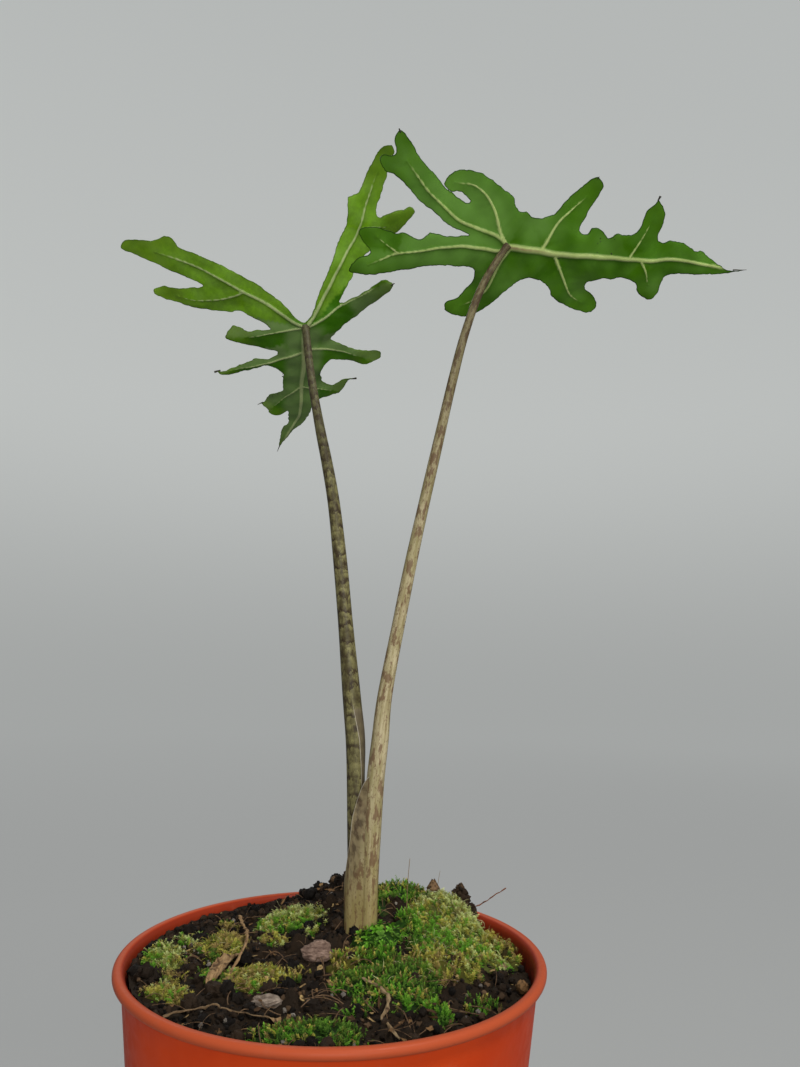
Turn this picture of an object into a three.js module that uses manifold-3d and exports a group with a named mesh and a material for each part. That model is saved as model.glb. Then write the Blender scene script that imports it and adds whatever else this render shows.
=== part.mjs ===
// A young alocasia portei aurea: two lobed leaves on mottled stems,
// in a round plant pot filled with mossy peat.
// Millimetres, +Z up. The origin is the middle of the pot's flat base.
// Seen from the front, the eye looks along +Y and +X is to the right.

import * as THREE from 'three';
import Module from 'manifold-3d';

const wasm = await Module();
wasm.setup();

// Driving dimensions

const GAP = 0.3;

const POT = {
  height: 95,
  rimRadius: 60,
  lipHeight: 2.7,
  wallTopRadius: 57.7,
  footRadius: 46.3,
  wall: 1.0,
  floor: 2.2,
  padRadius: 26,
  standingRingRadius: 40,
  grooveDepth: 1,
  holeCircleRadius: 33,
  holeRadius: 3.5,
  holes: 8,
  sides: 60,
};

const SOIL = {
  level: POT.height - 6,
  rings: 13,
  sides: 54,
  crumbs: 110,
  crumbRadius: [2.2, 4.2],
  crumbHeight: [1, 2.4],
};

// Heaps above the soil's level, and one dip beside the right-hand wall
const SOIL_HEAPS = [
  { x: 20, y: 30, height: 11, spread: 22 },
  { x: -2, y: 46, height: 5, spread: 8 },
  { x: 56, y: 22, height: -7, spread: 12 },
  { x: 44, y: -26, height: -2, spread: 14 },
];

const CORM = { x: 7, y: 14, top: POT.height - 8, radius: 9, depth: 22 };
const ROOTS = { count: 4, length: 24, drop: 22, radius: 1.5, tipRadius: 0.6, firstAngle: 0.6 };

// Each stop of a stem: x, y, z and the stem's radius there
const LEFT_STEM = [
  [5.1, 15.5, 87.3, 2.5],
  [5.0, 15.5, 102.7, 2.5],
  [4.8, 15.6, 115.8, 2.6],
  [4.0, 16.1, 139.7, 2.8],
  [3.5, 16.5, 151.9, 3.1],
  [2.0, 17.0, 164.3, 2.9],
  [-1.1, 18.3, 189.8, 2.45],
  [-3.6, 19.7, 209.7, 2.3],
  [-6.7, 21.3, 230.3, 2.1],
  [-9.7, 22.6, 244.5, 1.9],
  [-12.3, 23.6, 255.4, 1.75],
  [-16.6, 25.8, 276.0, 1.45],
  [-19.3, 27.7, 293.4, 1.35],
];
const RIGHT_STEM = [
  [9.5, 12.5, 87.3, 2.6],
  [9.3, 12.5, 103.7, 2.6],
  [9.4, 12.4, 116.7, 2.7],
  [10.3, 12.0, 140.4, 2.8],
  [11.4, 11.8, 152.5, 2.7],
  [12.4, 11.4, 164.8, 2.35],
  [16.6, 10.5, 189.9, 2.1],
  [20.0, 9.6, 209.0, 2.0],
  [23.9, 8.5, 228.5, 1.85],
  [28.0, 7.3, 248.2, 1.7],
  [32.2, 5.8, 268.1, 1.55],
  [35.8, 4.6, 283.2, 1.4],
  [40.7, 3.3, 298.1, 1.3],
  [44.5, 2.2, 305.6, 1.2],
  [48.6, 1.5, 312.2, 1.15],
];
const STEM = { sides: 9, step: 11 };

// The right stem's sheath: two thin wings that close round the left stem
// towards the soil. reach is the part of the way round, at each height.
const SHEATH = {
  thickness: 0.9,
  levels: [
    { z: 87.3, reach: 1 },
    { z: 103, reach: 0.93 },
    { z: 113, reach: 0.7 },
    { z: 122, reach: 0.5 },
    { z: 131, reach: 0.36 },
    { z: 142, reach: 0.1 },
  ],
  steps: 6,
  closedAngle: 175,
  closesBy: 0.45,
  thinning: 0.45,
};

const BLADE = {
  thickness: 0.7,
  reach: 90,
  edgeStep: 2.3,
  lattice: 3.7,
  edgeClearance: 1.5,
  veinStep: 3.6,
  veinEdgeClearance: 0.8,
  veinSpacing: 1,
  flankSpacing: 0.75,
  pucker: 0.8,
  puckerReach: 4,
  softness: 4,
  veinPower: 1.3,
  veinTaper: 0.65,
  ribHeight: 0.5,
  ribReach: 0.75,
};
// Slow waves over a blade: height, then waves a millimetre and phase along u and across v
const RIPPLES = [
  { height: 0.4, along: 0.31, alongPhase: 1.7, across: 0.27, acrossPhase: 0.4 },
  { height: 0.25, along: 0.73, alongPhase: 0, across: 0.41, acrossPhase: 1.57 },
];

// A leaf lies on a plane through its junction with the stem. tilt leans the
// plane back from level, turn swings it about Z, heading points to the tip.
// In the plane, u runs to the tip and v across. Outlines and veins are [u, v].
// A vein lifts off the plane from its start to rise at its end.
const RIGHT_LEAF = {
  junction: [49.4, 2, 313.1],
  tilt: 42,
  turn: -12,
  heading: 10.6,
  lobes: {
    tipUpperEdge: [
      [82.5, -2.5], [77.5, -1.5], [74.5, -2.5], [69, -5], [66, -6.5], [63, -6.5],
      [60, -8], [54, -8.5], [52, -7.5], [50.5, -7.5],
    ],
    upperThird: [
      [50, -9], [50, -15], [49, -17.5], [46, -20.5], [45.5, -19], [43.5, -16.5],
      [43, -13], [42.5, -11], [41, -9],
    ],
    upperWaist: [
      [38, -8.5], [35.5, -8.5], [33.5, -6.5], [31, -8.5], [28, -9], [26, -6.5], [23.5, -7.5],
    ],
    upperSecond: [
      [23.5, -8.5], [25, -12], [27.5, -18.5], [28, -21.5], [25.5, -24], [22, -21],
      [19, -18], [15.5, -14.5], [14, -12],
    ],
    upperShoulder: [[12.5, -11], [9.5, -10], [7, -10], [4, -11.5], [2, -11.5], [0, -13]],
    upperFirst: [
      [-1, -15.5], [-4, -17], [-7.5, -19], [-14, -21.5], [-18.5, -21], [-21.5, -18.6],
      [-22.3, -17.6], [-21.5, -16.9], [-19.5, -15.8], [-17, -14.3], [-14.5, -12.8],
    ],
    basalUpper: [
      [-16, -12], [-21, -14.5], [-24, -16.5], [-27, -19], [-30, -21], [-34, -25],
      [-36.5, -28], [-40, -30.5], [-41.5, -28], [-40.5, -25], [-40.5, -23.5], [-44, -23],
      [-45, -22], [-44.5, -20], [-43, -18.5], [-39.5, -17.5], [-36.5, -15.5], [-31, -11],
      [-24, -7], [-22, -5.5], [-16.5, -3.5], [-13.5, -2.5],
    ],
    basalLower: [
      [-15.5, -2], [-22, -1.5], [-26.5, -2], [-29.5, 0], [-31, 0], [-35.5, -1.5],
      [-37.5, -1], [-44.5, -2], [-48, -1.5], [-49.5, -0.5], [-48.5, 2], [-45, 6],
      [-48.5, 7.5], [-50.5, 9.5], [-51.5, 12.5], [-46, 13], [-39, 12], [-33.5, 10.5],
      [-24, 8.5], [-15, 8], [-11.5, 8], [-9.5, 9],
    ],
    lowerFirst: [
      [-8.5, 13], [-10, 16.5], [-12.5, 20.5], [-16, 22], [-16.5, 23], [-16, 25],
      [-13, 26.5], [-9, 27], [-4, 25], [0, 20.5], [3.5, 15.5], [7, 11.5], [9.5, 10],
    ],
    lowerSecond: [
      [13, 10], [18.5, 13], [19.5, 15], [25, 18.5], [35, 21], [37.5, 19.5],
      [37.5, 17], [35.5, 14.5], [31.5, 12], [31, 10],
    ],
    lowerWaist: [[32.5, 9], [35.5, 7], [38.5, 7], [42.5, 6], [47, 7]],
    lowerThird: [
      [49.5, 10.5], [54.5, 12.5], [56.5, 9.5], [56.5, 5], [57.5, 3], [64, 1.5], [74, 0],
    ],
  },
  veins: {
    mid: {
      rise: -7, width: 2.6,
      path: [
        [0.5, 0], [11, 0], [18, 0.5], [31, -0.5], [42, -1], [50, -1.5], [57, -3], [70, -2.5], [80.5, -2],
      ],
    },
    basalUpper: {
      rise: 3, width: 1.9,
      path: [
        [0.5, 0], [-3.5, -3], [-11.5, -5], [-18, -7], [-22.5, -10], [-29, -14.5], [-32, -17.5], [-36.5, -22],
      ],
    },
    basalLower: {
      rise: -2, width: 1.9,
      path: [[0.5, 0], [-2.5, 1.5], [-9, 1], [-15, 1], [-21.5, 2], [-29, 3.5], [-36, 5], [-45.5, 9.5]],
    },
    basalLowerBranch: { rise: 1, width: 0.9, from: 'basalLower', path: [[-36, 5], [-40, 3], [-43.5, 1]] },
    upperFirst: {
      rise: 3.5, width: 1.3,
      path: [[0.5, 0], [-3, -4], [-6.5, -11], [-10.5, -15.5], [-14.5, -17.5], [-18, -17.5], [-20.5, -17.5]],
    },
    upperSecond: {
      rise: 3.5, width: 1.2, from: 'mid',
      path: [[12, -1], [16, -10], [19.5, -13.5], [23.5, -17.5]],
    },
    upperThird: { rise: -2, width: 0.9, from: 'mid', path: [[42, -2], [44.5, -9], [46, -13.5]] },
    lowerFirst: {
      rise: 4.5, width: 1.3,
      path: [[1, 1], [-1, 5.5], [-2, 10], [-4, 17], [-7.5, 21], [-10.5, 23]],
    },
    lowerSecond: { rise: 3, width: 1.2, from: 'mid', path: [[17, 1.5], [22, 8.5], [27, 15], [31.5, 17.5]] },
    lowerThird: { rise: -2.5, width: 0.9, from: 'mid', path: [[46.5, -0.5], [49, 2.5], [51.5, 7]] },
  },
};

const LEFT_LEAF = {
  junction: [-19.5, 28, 294],
  tilt: 38,
  turn: -20,
  heading: 109,
  lobes: {
    basalLeft: [
      [-2, 1], [-7.5, 10], [-11.5, 19], [-14.5, 30], [-16, 39.5], [-16.5, 45.5],
      [-19, 48.5], [-19, 50.5], [-16.5, 54], [-16, 58.5], [-15.5, 61], [-15, 63],
      [-13, 64], [-12, 63.5], [-10.5, 59.5], [-9.5, 55], [-9, 52], [-8, 49],
      [-7, 42], [-6, 36.5],
    ],
    basalLeftBranch: [
      [-5, 37], [-2.5, 43.5], [-1.5, 49.5], [0.5, 52.5], [1.5, 52], [3, 48.5],
      [3.5, 43], [3.5, 36], [1.5, 27], [0, 23], [0.5, 19], [1.5, 14], [3, 12],
    ],
    leftFirst: [
      [5, 17], [6, 19.5], [5.5, 22], [5.5, 24.5], [7, 25.5], [10, 27], [11, 26.5],
      [11, 23], [11.5, 21], [12, 18], [12.5, 12.5], [12.5, 7.5],
    ],
    leftSecond: [
      [14, 7.5], [16.5, 9.5], [17.5, 12], [18, 15], [19, 16], [21, 18], [25, 22.5],
      [27, 26], [27, 27.5], [28, 26.5], [28, 23], [25.5, 18.5], [21.5, 13], [20, 10],
      [20.5, 7.5], [23, 3.5],
    ],
    leftThird: [
      [24.5, 3], [28, 2.5], [33, 1.5], [35, 3], [36.5, 5.5], [42, 7], [42.5, 8],
      [45.5, 5], [47.5, 3.5], [47.5, -0.5], [44.5, -3],
    ],
    tip: [
      [48, -4], [52.5, -5], [55, -3.5], [60, -3.5], [68.5, -4.5], [65, -5.5],
      [56, -8], [50.5, -11], [42, -12], [38.5, -12],
    ],
    rightThird: [
      [36, -14], [34, -19], [32, -22], [29, -23], [25.5, -23.5], [23.5, -25],
      [25.5, -21], [27.5, -19.5], [28.5, -18], [28, -15.5], [26.5, -13], [24, -12],
    ],
    rightWaist: [[20.5, -10.5], [17, -11], [14.5, -12], [13.5, -13]],
    rightSecond: [
      [13.5, -16], [14, -22], [15, -26.5], [14, -29], [11.5, -32.5], [9.5, -32.5],
      [8.5, -32], [9, -27], [8, -20], [6.5, -16.5], [4.5, -11],
    ],
    rightFirst: [
      [2, -11.5], [-3, -14.5], [-5.5, -17], [-10.5, -21.5], [-14, -25.5], [-19.5, -29],
      [-20.5, -27.5], [-21, -25], [-18, -21.5], [-13.5, -15.5], [-11, -10.5],
    ],
    basalRightBranch: [
      [-13.5, -11], [-20.5, -14], [-24, -15.5], [-28, -19], [-32, -24], [-35.5, -27.5],
      [-43.5, -32], [-44.5, -31], [-44.5, -30], [-43.5, -28.5], [-42.5, -26], [-40, -22],
    ],
    basalRight: [
      [-39, -20.5], [-39.5, -19], [-42, -19], [-44.5, -19.5], [-47.5, -20], [-52, -20.5],
      [-55, -20], [-59, -21], [-60.5, -20.5], [-61.5, -19.5], [-60.5, -17], [-59, -16],
      [-52.5, -14], [-45.5, -12], [-43.5, -9.5], [-43, -8], [-40, -8.5], [-36.5, -9],
      [-34.5, -9], [-30.5, -7.5], [-19, -4.5], [-13.5, -3], [-4.5, -1],
    ],
  },
  veins: {
    mid: {
      rise: 20, width: 2.4,
      path: [[-0.5, 0], [4.5, -0.5], [16, -3], [26.5, -4.5], [36, -6.5], [47.5, -8], [53.5, -7], [67, -4.8]],
    },
    basalLeft: {
      rise: 14, width: 1.9,
      path: [
        [-0.5, 0], [-1.5, 4.5], [-5.5, 13.5], [-8, 23], [-10, 29.5], [-11.5, 37.5], [-12.5, 44.5], [-13, 53],
      ],
    },
    basalLeftBranch: {
      rise: 12, width: 1.1, from: 'basalLeft',
      path: [[-8, 23], [-4, 28], [-1.5, 33], [0.5, 39], [1, 44]],
    },
    basalRight: {
      rise: 22, width: 1.9,
      path: [[-0.5, 0], [-5, -2], [-22.5, -8.5], [-28, -11], [-32, -13], [-42.5, -15], [-51.5, -17]],
    },
    basalRightBranch: {
      rise: 14, width: 1.1, from: 'basalRight',
      path: [[-34, -13.5], [-35.5, -18], [-36.5, -24]],
    },
    leftFirst: { rise: 3, width: 1.1, path: [[0, 0.5], [2, 6], [4.5, 11.5], [7.5, 17], [8.5, 20]] },
    leftSecond: {
      rise: 8, width: 1.2, from: 'mid',
      path: [[11, -1], [14, 3.5], [18, 9], [22, 16], [26, 22.5]],
    },
    leftThird: { rise: 14, width: 0.9, from: 'mid', path: [[29.5, -4.5], [35, -1], [44, 3]] },
    rightFirst: {
      rise: 5, width: 1.2,
      path: [[-1, -1], [-4.5, -5.5], [-10, -11], [-15, -18.5], [-18.5, -23.5]],
    },
    rightSecond: {
      rise: 7, width: 1.2, from: 'mid',
      path: [[9, -3], [8.5, -10], [9, -15], [10, -19.5], [11.5, -24]],
    },
    rightThird: { rise: 13, width: 0.9, from: 'mid', path: [[29, -6], [30, -12.5], [31.5, -19.5]] },
  },
};

// Clumps of moss on the soil: place, half width and half depth, height over the soil
const MOSS = [
  { name: 'moss_leafy_front', x: 12.5, y: 7, wide: 8, deep: 5.5, height: 3.6, shoots: 18, tone: 'bright' },
  { name: 'moss_green_front', x: 18, y: -13.5, wide: 13, deep: 12, height: 2.6, shoots: 42, tone: 'green' },
  { name: 'moss_pale_mound', x: 35, y: 19, wide: 14, deep: 19, height: 6.5, shoots: 60, tone: 'pale' },
  { name: 'moss_green_back', x: 19, y: 35, wide: 10, deep: 9, height: 4, shoots: 26, tone: 'green' },
  { name: 'moss_pale_back', x: -17, y: 31, wide: 11, deep: 7, height: 3, shoots: 24, tone: 'pale' },
  { name: 'moss_tan_left', x: -34, y: 12, wide: 8.5, deep: 10, height: 3, shoots: 24, tone: 'tan' },
  { name: 'moss_rim_left', x: -48.5, y: 1, wide: 5.5, deep: 10, height: 2.2, shoots: 18, tone: 'pale' },
  { name: 'moss_yellow_left', x: -41, y: -23, wide: 6, deep: 5, height: 2, shoots: 12, tone: 'yellow' },
  { name: 'moss_yellow_front', x: -21, y: -10, wide: 9.5, deep: 7, height: 2.3, shoots: 22, tone: 'yellow' },
  { name: 'moss_bright_front', x: -2, y: -41, wide: 14, deep: 6.5, height: 2.2, shoots: 28, tone: 'bright' },
  { name: 'moss_tuft_front', x: 28, y: -27, wide: 4, deep: 6, height: 2.6, shoots: 12, tone: 'green' },
];
const MOSS_DOME = { sides: 12, rings: 2, root: 2.5, edge: 0.4, wobble: 0.12 };
const SHOOT = { radius: 0.95, sunk: 1.6, length: [1.4, 2.6], lean: 1.6 };

// Dry bits that lie on the soil: stops [x, y, height over the soil]
const TWIGS = [
  {
    name: 'dry_leaf_stalk', radius: 0.9, tip: 0.5,
    stops: [[-34, 36, 1.6], [-31, 26, 3], [-27, 12, 4.5], [-26.5, 2, 4], [-27.5, -9, 2.4], [-29.5, -19, 1.2]],
  },
  {
    name: 'long_dry_root', radius: 0.65, tip: 0.45,
    stops: [[-38, -37, 1.2], [-32.5, -32.5, 2], [-25, -31, 2], [-13, -33.5, 1.2]],
  },
  {
    name: 'curled_dry_root', radius: 1, tip: 0.5,
    stops: [[9, -13, 2.2], [14.5, -20.5, 2.8], [16, -27, 2.4], [14.5, -34, 1.4], [19, -42, 1.2]],
  },
  {
    name: 'reddish_twig', radius: 0.5, tip: 0.35,
    stops: [[40.5, 36.5, 1.0], [44.6, 34, 5.9], [48.9, 31.5, 12.2], [53, 28, 18.8]],
  },
];
const CHUNKS = [
  { name: 'bark_chip_right', x: 49, y: 3, size: [2.2, 1.8, 1.3], seed: 31 },
  { name: 'bark_chip_front', x: -15, y: -24, size: [4, 2.4, 1.6], seed: 32 },
  { name: 'pink_bark_lump', x: -5, y: 3, size: [4.6, 3.4, 2.6], seed: 33 },
];

const COLOURS = {
  terracotta: '#b9532b',
  peat: '#2c2019',
  corm: '#6b4a30',
  leftStem: '#6f6440',
  rightStem: '#a39262',
  rightBlade: '#5f8a3c',
  leftBlade: '#6f9440',
  bright: '#5c9a2c',
  green: '#4d7a2a',
  pale: '#a7ad62',
  yellow: '#98963f',
  tan: '#7d7040',
  twig: '#8a6a44',
  bark: '#8f6f5c',
};

// Small helpers

function randomSource(seed) {
  let state = seed;
  return () => {
    state = (state * 1664525 + 1013904223) % 4294967296;
    return state / 4294967296;
  };
}

function between(random, [low, high]) {
  return low + (high - low) * random();
}

const radians = THREE.MathUtils.degToRad;
const GOLDEN_ANGLE = radians(137.5);

// Closed bodies from points and triangles, turned to face out

function solid(points, faces) {
  let volume = 0;
  for (const [a, b, c] of faces) {
    volume += points[a].dot(new THREE.Vector3().crossVectors(points[b], points[c]));
  }
  const outward = volume > 0 ? faces : faces.map(([a, b, c]) => [a, c, b]);
  return new wasm.Manifold(new wasm.Mesh({
    numProp: 3,
    vertProperties: new Float32Array(points.flatMap((point) => point.toArray())),
    triVerts: new Uint32Array(outward.flat()),
  }));
}

// Rings of equal length joined in a row, with a fan over each end
function loft(rings) {
  const count = rings[0].length;
  const points = rings.flat();
  const faces = [];
  for (let i = 0; i + 1 < rings.length; i += 1) {
    for (let j = 0; j < count; j += 1) {
      const a = i * count + j;
      const b = i * count + ((j + 1) % count);
      faces.push([a, b, b + count], [a, b + count, a + count]);
    }
  }
  const addCap = (first, ring, flip) => {
    const middle = new THREE.Vector3();
    ring.forEach((point) => middle.addScaledVector(point, 1 / count));
    points.push(middle);
    for (let j = 0; j < count; j += 1) {
      const a = first + j;
      const b = first + ((j + 1) % count);
      faces.push(flip ? [points.length - 1, b, a] : [points.length - 1, a, b]);
    }
  };
  addCap(0, rings[0], true);
  addCap((rings.length - 1) * count, rings[rings.length - 1], false);
  return solid(points, faces);
}

// Two equal grids of points, one for each face of a thin sheet
function sheet(front, back) {
  const rows = front.length;
  const columns = front[0].length;
  const points = [...front.flat(), ...back.flat()];
  const offset = rows * columns;
  const at = (i, j) => i * columns + j;
  const faces = [];
  const quad = (a, b, c, d) => faces.push([a, b, c], [a, c, d]);
  for (let i = 0; i + 1 < rows; i += 1) {
    for (let j = 0; j + 1 < columns; j += 1) {
      quad(at(i, j), at(i, j + 1), at(i + 1, j + 1), at(i + 1, j));
      quad(at(i, j) + offset, at(i + 1, j) + offset, at(i + 1, j + 1) + offset, at(i, j + 1) + offset);
    }
    quad(at(i, 0), at(i + 1, 0), at(i + 1, 0) + offset, at(i, 0) + offset);
    const last = columns - 1;
    quad(at(i + 1, last), at(i, last), at(i, last) + offset, at(i + 1, last) + offset);
  }
  for (let j = 0; j + 1 < columns; j += 1) {
    quad(at(0, j + 1), at(0, j), at(0, j) + offset, at(0, j + 1) + offset);
    quad(at(rows - 1, j), at(rows - 1, j + 1), at(rows - 1, j + 1) + offset, at(rows - 1, j) + offset);
  }
  return solid(points, faces);
}

function circle(x, y, z, radius, sides) {
  const ring = [];
  for (let j = 0; j < sides; j += 1) {
    const angle = (j / sides) * 2 * Math.PI;
    ring.push(new THREE.Vector3(x + radius * Math.cos(angle), y + radius * Math.sin(angle), z));
  }
  return ring;
}

// A round rod along stops [x, y, z, radius], made larger all round by extra
function rod(stops, sides, step, extra = 0) {
  const curve = new THREE.CatmullRomCurve3(stops.map((stop) => new THREE.Vector3(...stop.slice(0, 3))));
  const spans = stops.length - 1;
  const sections = Math.max(2, Math.round(curve.getLength() / step));
  const rings = [];
  let across = new THREE.Vector3(1, 0, 0);
  for (let i = 0; i <= sections; i += 1) {
    const t = curve.getUtoTmapping(i / sections, 0);
    const along = curve.getTangent(t);
    const middle = curve.getPoint(t);
    if (i === 0) middle.addScaledVector(along, -extra);
    if (i === sections) middle.addScaledVector(along, extra);
    const span = Math.min(Math.floor(t * spans), spans - 1);
    const radius = THREE.MathUtils.lerp(stops[span][3], stops[span + 1][3], t * spans - span) + extra;
    across = across.addScaledVector(along, -across.dot(along)).normalize();
    const other = new THREE.Vector3().crossVectors(along, across);
    const ring = [];
    for (let j = 0; j < sides; j += 1) {
      const angle = (j / sides) * 2 * Math.PI;
      ring.push(middle.clone()
        .addScaledVector(across, radius * Math.cos(angle))
        .addScaledVector(other, radius * Math.sin(angle)));
    }
    rings.push(ring);
  }
  return loft(rings);
}

// The largest body of a solid, so that a cut leaves no loose scrap
function largest(body) {
  const parts = body.decompose();
  return parts.reduce((best, part) => (part.volume() > best.volume() ? part : best));
}

// Pot

function wallRadius(z) {
  const wallTop = POT.height - POT.lipHeight;
  return POT.footRadius + ((POT.wallTopRadius - POT.footRadius) * z) / wallTop;
}

function makePot() {
  const { height, rimRadius, wall, floor, sides } = POT;
  const underLip = height - POT.lipHeight;
  const profile = [
    [POT.padRadius, 0],
    [POT.padRadius + 1, POT.grooveDepth],
    [POT.standingRingRadius - 1, POT.grooveDepth],
    [POT.standingRingRadius, 0],
    [POT.footRadius - 1.3, 0],
    [POT.footRadius, 1.2],
    [wallRadius(underLip), underLip],
    [rimRadius - 0.7, underLip + 0.1],
    [rimRadius, underLip + 0.9],
    [rimRadius - 0.2, height - 0.6],
    [rimRadius - 1, height],
    [rimRadius - 2.4, height],
    [wallRadius(underLip) - wall, height - 1.2],
    [wallRadius(floor) - wall, floor + 1],
    [wallRadius(floor) - wall - 1, floor],
  ];
  let pot = loft(profile.map(([radius, z]) => circle(0, 0, z, radius, sides)));
  for (let i = 0; i < POT.holes; i += 1) {
    const angle = ((i + 0.5) / POT.holes) * 2 * Math.PI;
    const x = POT.holeCircleRadius * Math.cos(angle);
    const y = POT.holeCircleRadius * Math.sin(angle);
    const drill = loft([circle(x, y, -1, POT.holeRadius, 10), circle(x, y, floor + 1, POT.holeRadius, 10)]);
    pot = pot.subtract(drill);
  }
  return pot;
}

// Soil

function smoothSoil(x, y) {
  let z = SOIL.level;
  for (const heap of SOIL_HEAPS) {
    const away = ((x - heap.x) / heap.spread) ** 2 + ((y - heap.y) / heap.spread) ** 2;
    z += heap.height * Math.exp(-away / 2);
  }
  return z;
}

function makeCrumbs() {
  const random = randomSource(7);
  const crumbs = [];
  for (let i = 0; i < SOIL.crumbs; i += 1) {
    const reach = (POT.wallTopRadius - 4) * Math.sqrt(random());
    const angle = random() * 2 * Math.PI;
    crumbs.push({
      x: reach * Math.cos(angle),
      y: reach * Math.sin(angle),
      radius: between(random, SOIL.crumbRadius),
      height: between(random, SOIL.crumbHeight),
    });
  }
  return crumbs;
}

function makeSoil() {
  const crumbs = makeCrumbs();
  const roughSoil = (x, y) => {
    let z = smoothSoil(x, y);
    for (const crumb of crumbs) {
      const away = ((x - crumb.x) ** 2 + (y - crumb.y) ** 2) / crumb.radius ** 2;
      z += crumb.height * Math.max(0, 1 - away);
    }
    return z;
  };
  const insideWall = (z) => wallRadius(z) - POT.wall - GAP;
  const bottom = POT.floor + 1 + GAP;
  const edge = insideWall(SOIL.level - 4);
  const rings = [circle(0, 0, bottom, insideWall(bottom), SOIL.sides)];
  for (let i = SOIL.rings; i > 0; i -= 1) {
    rings.push(circle(0, 0, 0, (edge * i) / SOIL.rings, SOIL.sides).map(({ x, y }) => {
      const z = roughSoil(x, y);
      // The rim of the soil follows the tapered wall, wider where it stands higher
      const fit = i === SOIL.rings ? insideWall(Math.min(z, SOIL.level)) / edge : 1;
      return new THREE.Vector3(x * fit, y * fit, z);
    }));
  }
  return loft(rings);
}

// Corm with its thick roots, under the soil

function makeCorm(extra = 0) {
  const { x, y, top, radius, depth } = CORM;
  const profile = [
    [0.45, -depth], [0.85, -0.8 * depth], [1, -0.5 * depth], [0.95, -0.2 * depth], [0.75, 0],
  ];
  const rings = profile.map(([share, down], i) => {
    const lift = i === 0 ? -extra : i === profile.length - 1 ? extra : 0;
    return circle(x, y, top + down + lift, radius * share + extra, 16);
  });
  let corm = loft(rings);
  for (let i = 0; i < ROOTS.count; i += 1) {
    const angle = ROOTS.firstAngle + (i / ROOTS.count) * 2 * Math.PI;
    const start = top - 0.6 * depth;
    const stops = [0, 0.35, 0.7, 1].map((share) => [
      x + (0.5 * radius + ROOTS.length * share) * Math.cos(angle + 0.5 * share),
      y + (0.5 * radius + ROOTS.length * share) * Math.sin(angle + 0.5 * share),
      start - ROOTS.drop * share ** 1.6,
      THREE.MathUtils.lerp(ROOTS.radius, ROOTS.tipRadius, share),
    ]);
    corm = corm.add(rod(stops, 5, 9, extra));
  }
  return corm;
}

// Stems

function stopAtHeight(stops, z) {
  const next = stops.findIndex((stop) => stop[2] >= z);
  const i = Math.max(1, next);
  const share = (z - stops[i - 1][2]) / (stops[i][2] - stops[i - 1][2]);
  return stops[i].map((value, k) => THREE.MathUtils.lerp(stops[i - 1][k], value, share));
}

function makeLeftStem(extra = 0) {
  return rod(LEFT_STEM, STEM.sides, STEM.step, extra);
}

// One wing of the sheath. side is -1 for the wing in front and 1 for the one behind
function makeSheathWing(side, extra) {
  const outer = [];
  const inner = [];
  for (const { z, reach } of SHEATH.levels) {
    const [cx, cy, , coreRadius] = stopAtHeight(LEFT_STEM, z);
    const [stemX, stemY, , stemRadius] = stopAtHeight(RIGHT_STEM, z);
    const toStem = Math.atan2(stemY - cy, stemX - cx);
    const away = Math.hypot(stemX - cx, stemY - cy);
    const wrapRadius = coreRadius + GAP + SHEATH.thickness / 2;
    const closed = radians(SHEATH.closedAngle);
    const outerRow = [];
    const innerRow = [];
    for (let k = 0; k <= SHEATH.steps; k += 1) {
      const share = (k / SHEATH.steps) * reach;
      const margin = k === SHEATH.steps ? (1.5 * extra) / wrapRadius : 0;
      const angle = toStem + side * (closed * share + margin);
      // Near the right stem the wing leaves its side, then it closes on the left stem
      const blend = THREE.MathUtils.smoothstep(share, 0, SHEATH.closesBy);
      const root = Math.max(away - 0.4 * stemRadius, wrapRadius);
      const radius = THREE.MathUtils.lerp(root, wrapRadius, blend);
      const half = (SHEATH.thickness / 2) * (1 - SHEATH.thinning * (k / SHEATH.steps)) + extra;
      const direction = new THREE.Vector3(Math.cos(angle), Math.sin(angle), 0);
      const height = z + (z === SHEATH.levels[0].z ? -extra : 0);
      const middle = new THREE.Vector3(cx, cy, height);
      outerRow.push(middle.clone().addScaledVector(direction, radius + half));
      innerRow.push(middle.clone().addScaledVector(direction, radius - half));
    }
    outer.push(outerRow);
    inner.push(innerRow);
  }
  return sheet(outer, inner);
}

function makeRightStem(extra = 0) {
  const stem = rod(RIGHT_STEM, STEM.sides, STEM.step, extra);
  return stem.add(makeSheathWing(-1, extra)).add(makeSheathWing(1, extra));
}

// Leaf blades

function leafFrame(leaf) {
  const tilt = radians(leaf.tilt);
  const turn = radians(leaf.turn);
  const heading = radians(leaf.heading);
  const up = new THREE.Vector3(
    Math.sin(tilt) * Math.sin(turn),
    Math.sin(tilt) * Math.cos(turn),
    Math.cos(tilt),
  );
  const toTip = new THREE.Vector3(Math.cos(heading), Math.sin(heading), 0);
  toTip.z = -(up.x * toTip.x + up.y * toTip.y) / up.z;
  toTip.normalize();
  const across = new THREE.Vector3().crossVectors(up, toTip);
  return { junction: new THREE.Vector3(...leaf.junction), up, toTip, across };
}

// Points along a vein every spacing millimetres, with the share of its length
function alongVein(path, spacing) {
  const points = path.map(([u, v]) => new THREE.Vector2(u, v));
  const lengths = [0];
  for (let i = 1; i < points.length; i += 1) {
    lengths.push(lengths[i - 1] + points[i].distanceTo(points[i - 1]));
  }
  const total = lengths[lengths.length - 1];
  const count = Math.max(2, Math.ceil(total / spacing));
  const stations = [];
  let i = 0;
  for (let k = 0; k <= count; k += 1) {
    const s = (k / count) * total;
    while (i < lengths.length - 2 && lengths[i + 1] < s) i += 1;
    const share = (s - lengths[i]) / (lengths[i + 1] - lengths[i]);
    const point = points[i].clone().lerp(points[i + 1], share);
    const direction = points[i + 1].clone().sub(points[i]).normalize();
    stations.push({ u: point.x, v: point.y, share: s / total, direction });
  }
  return stations;
}

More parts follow.
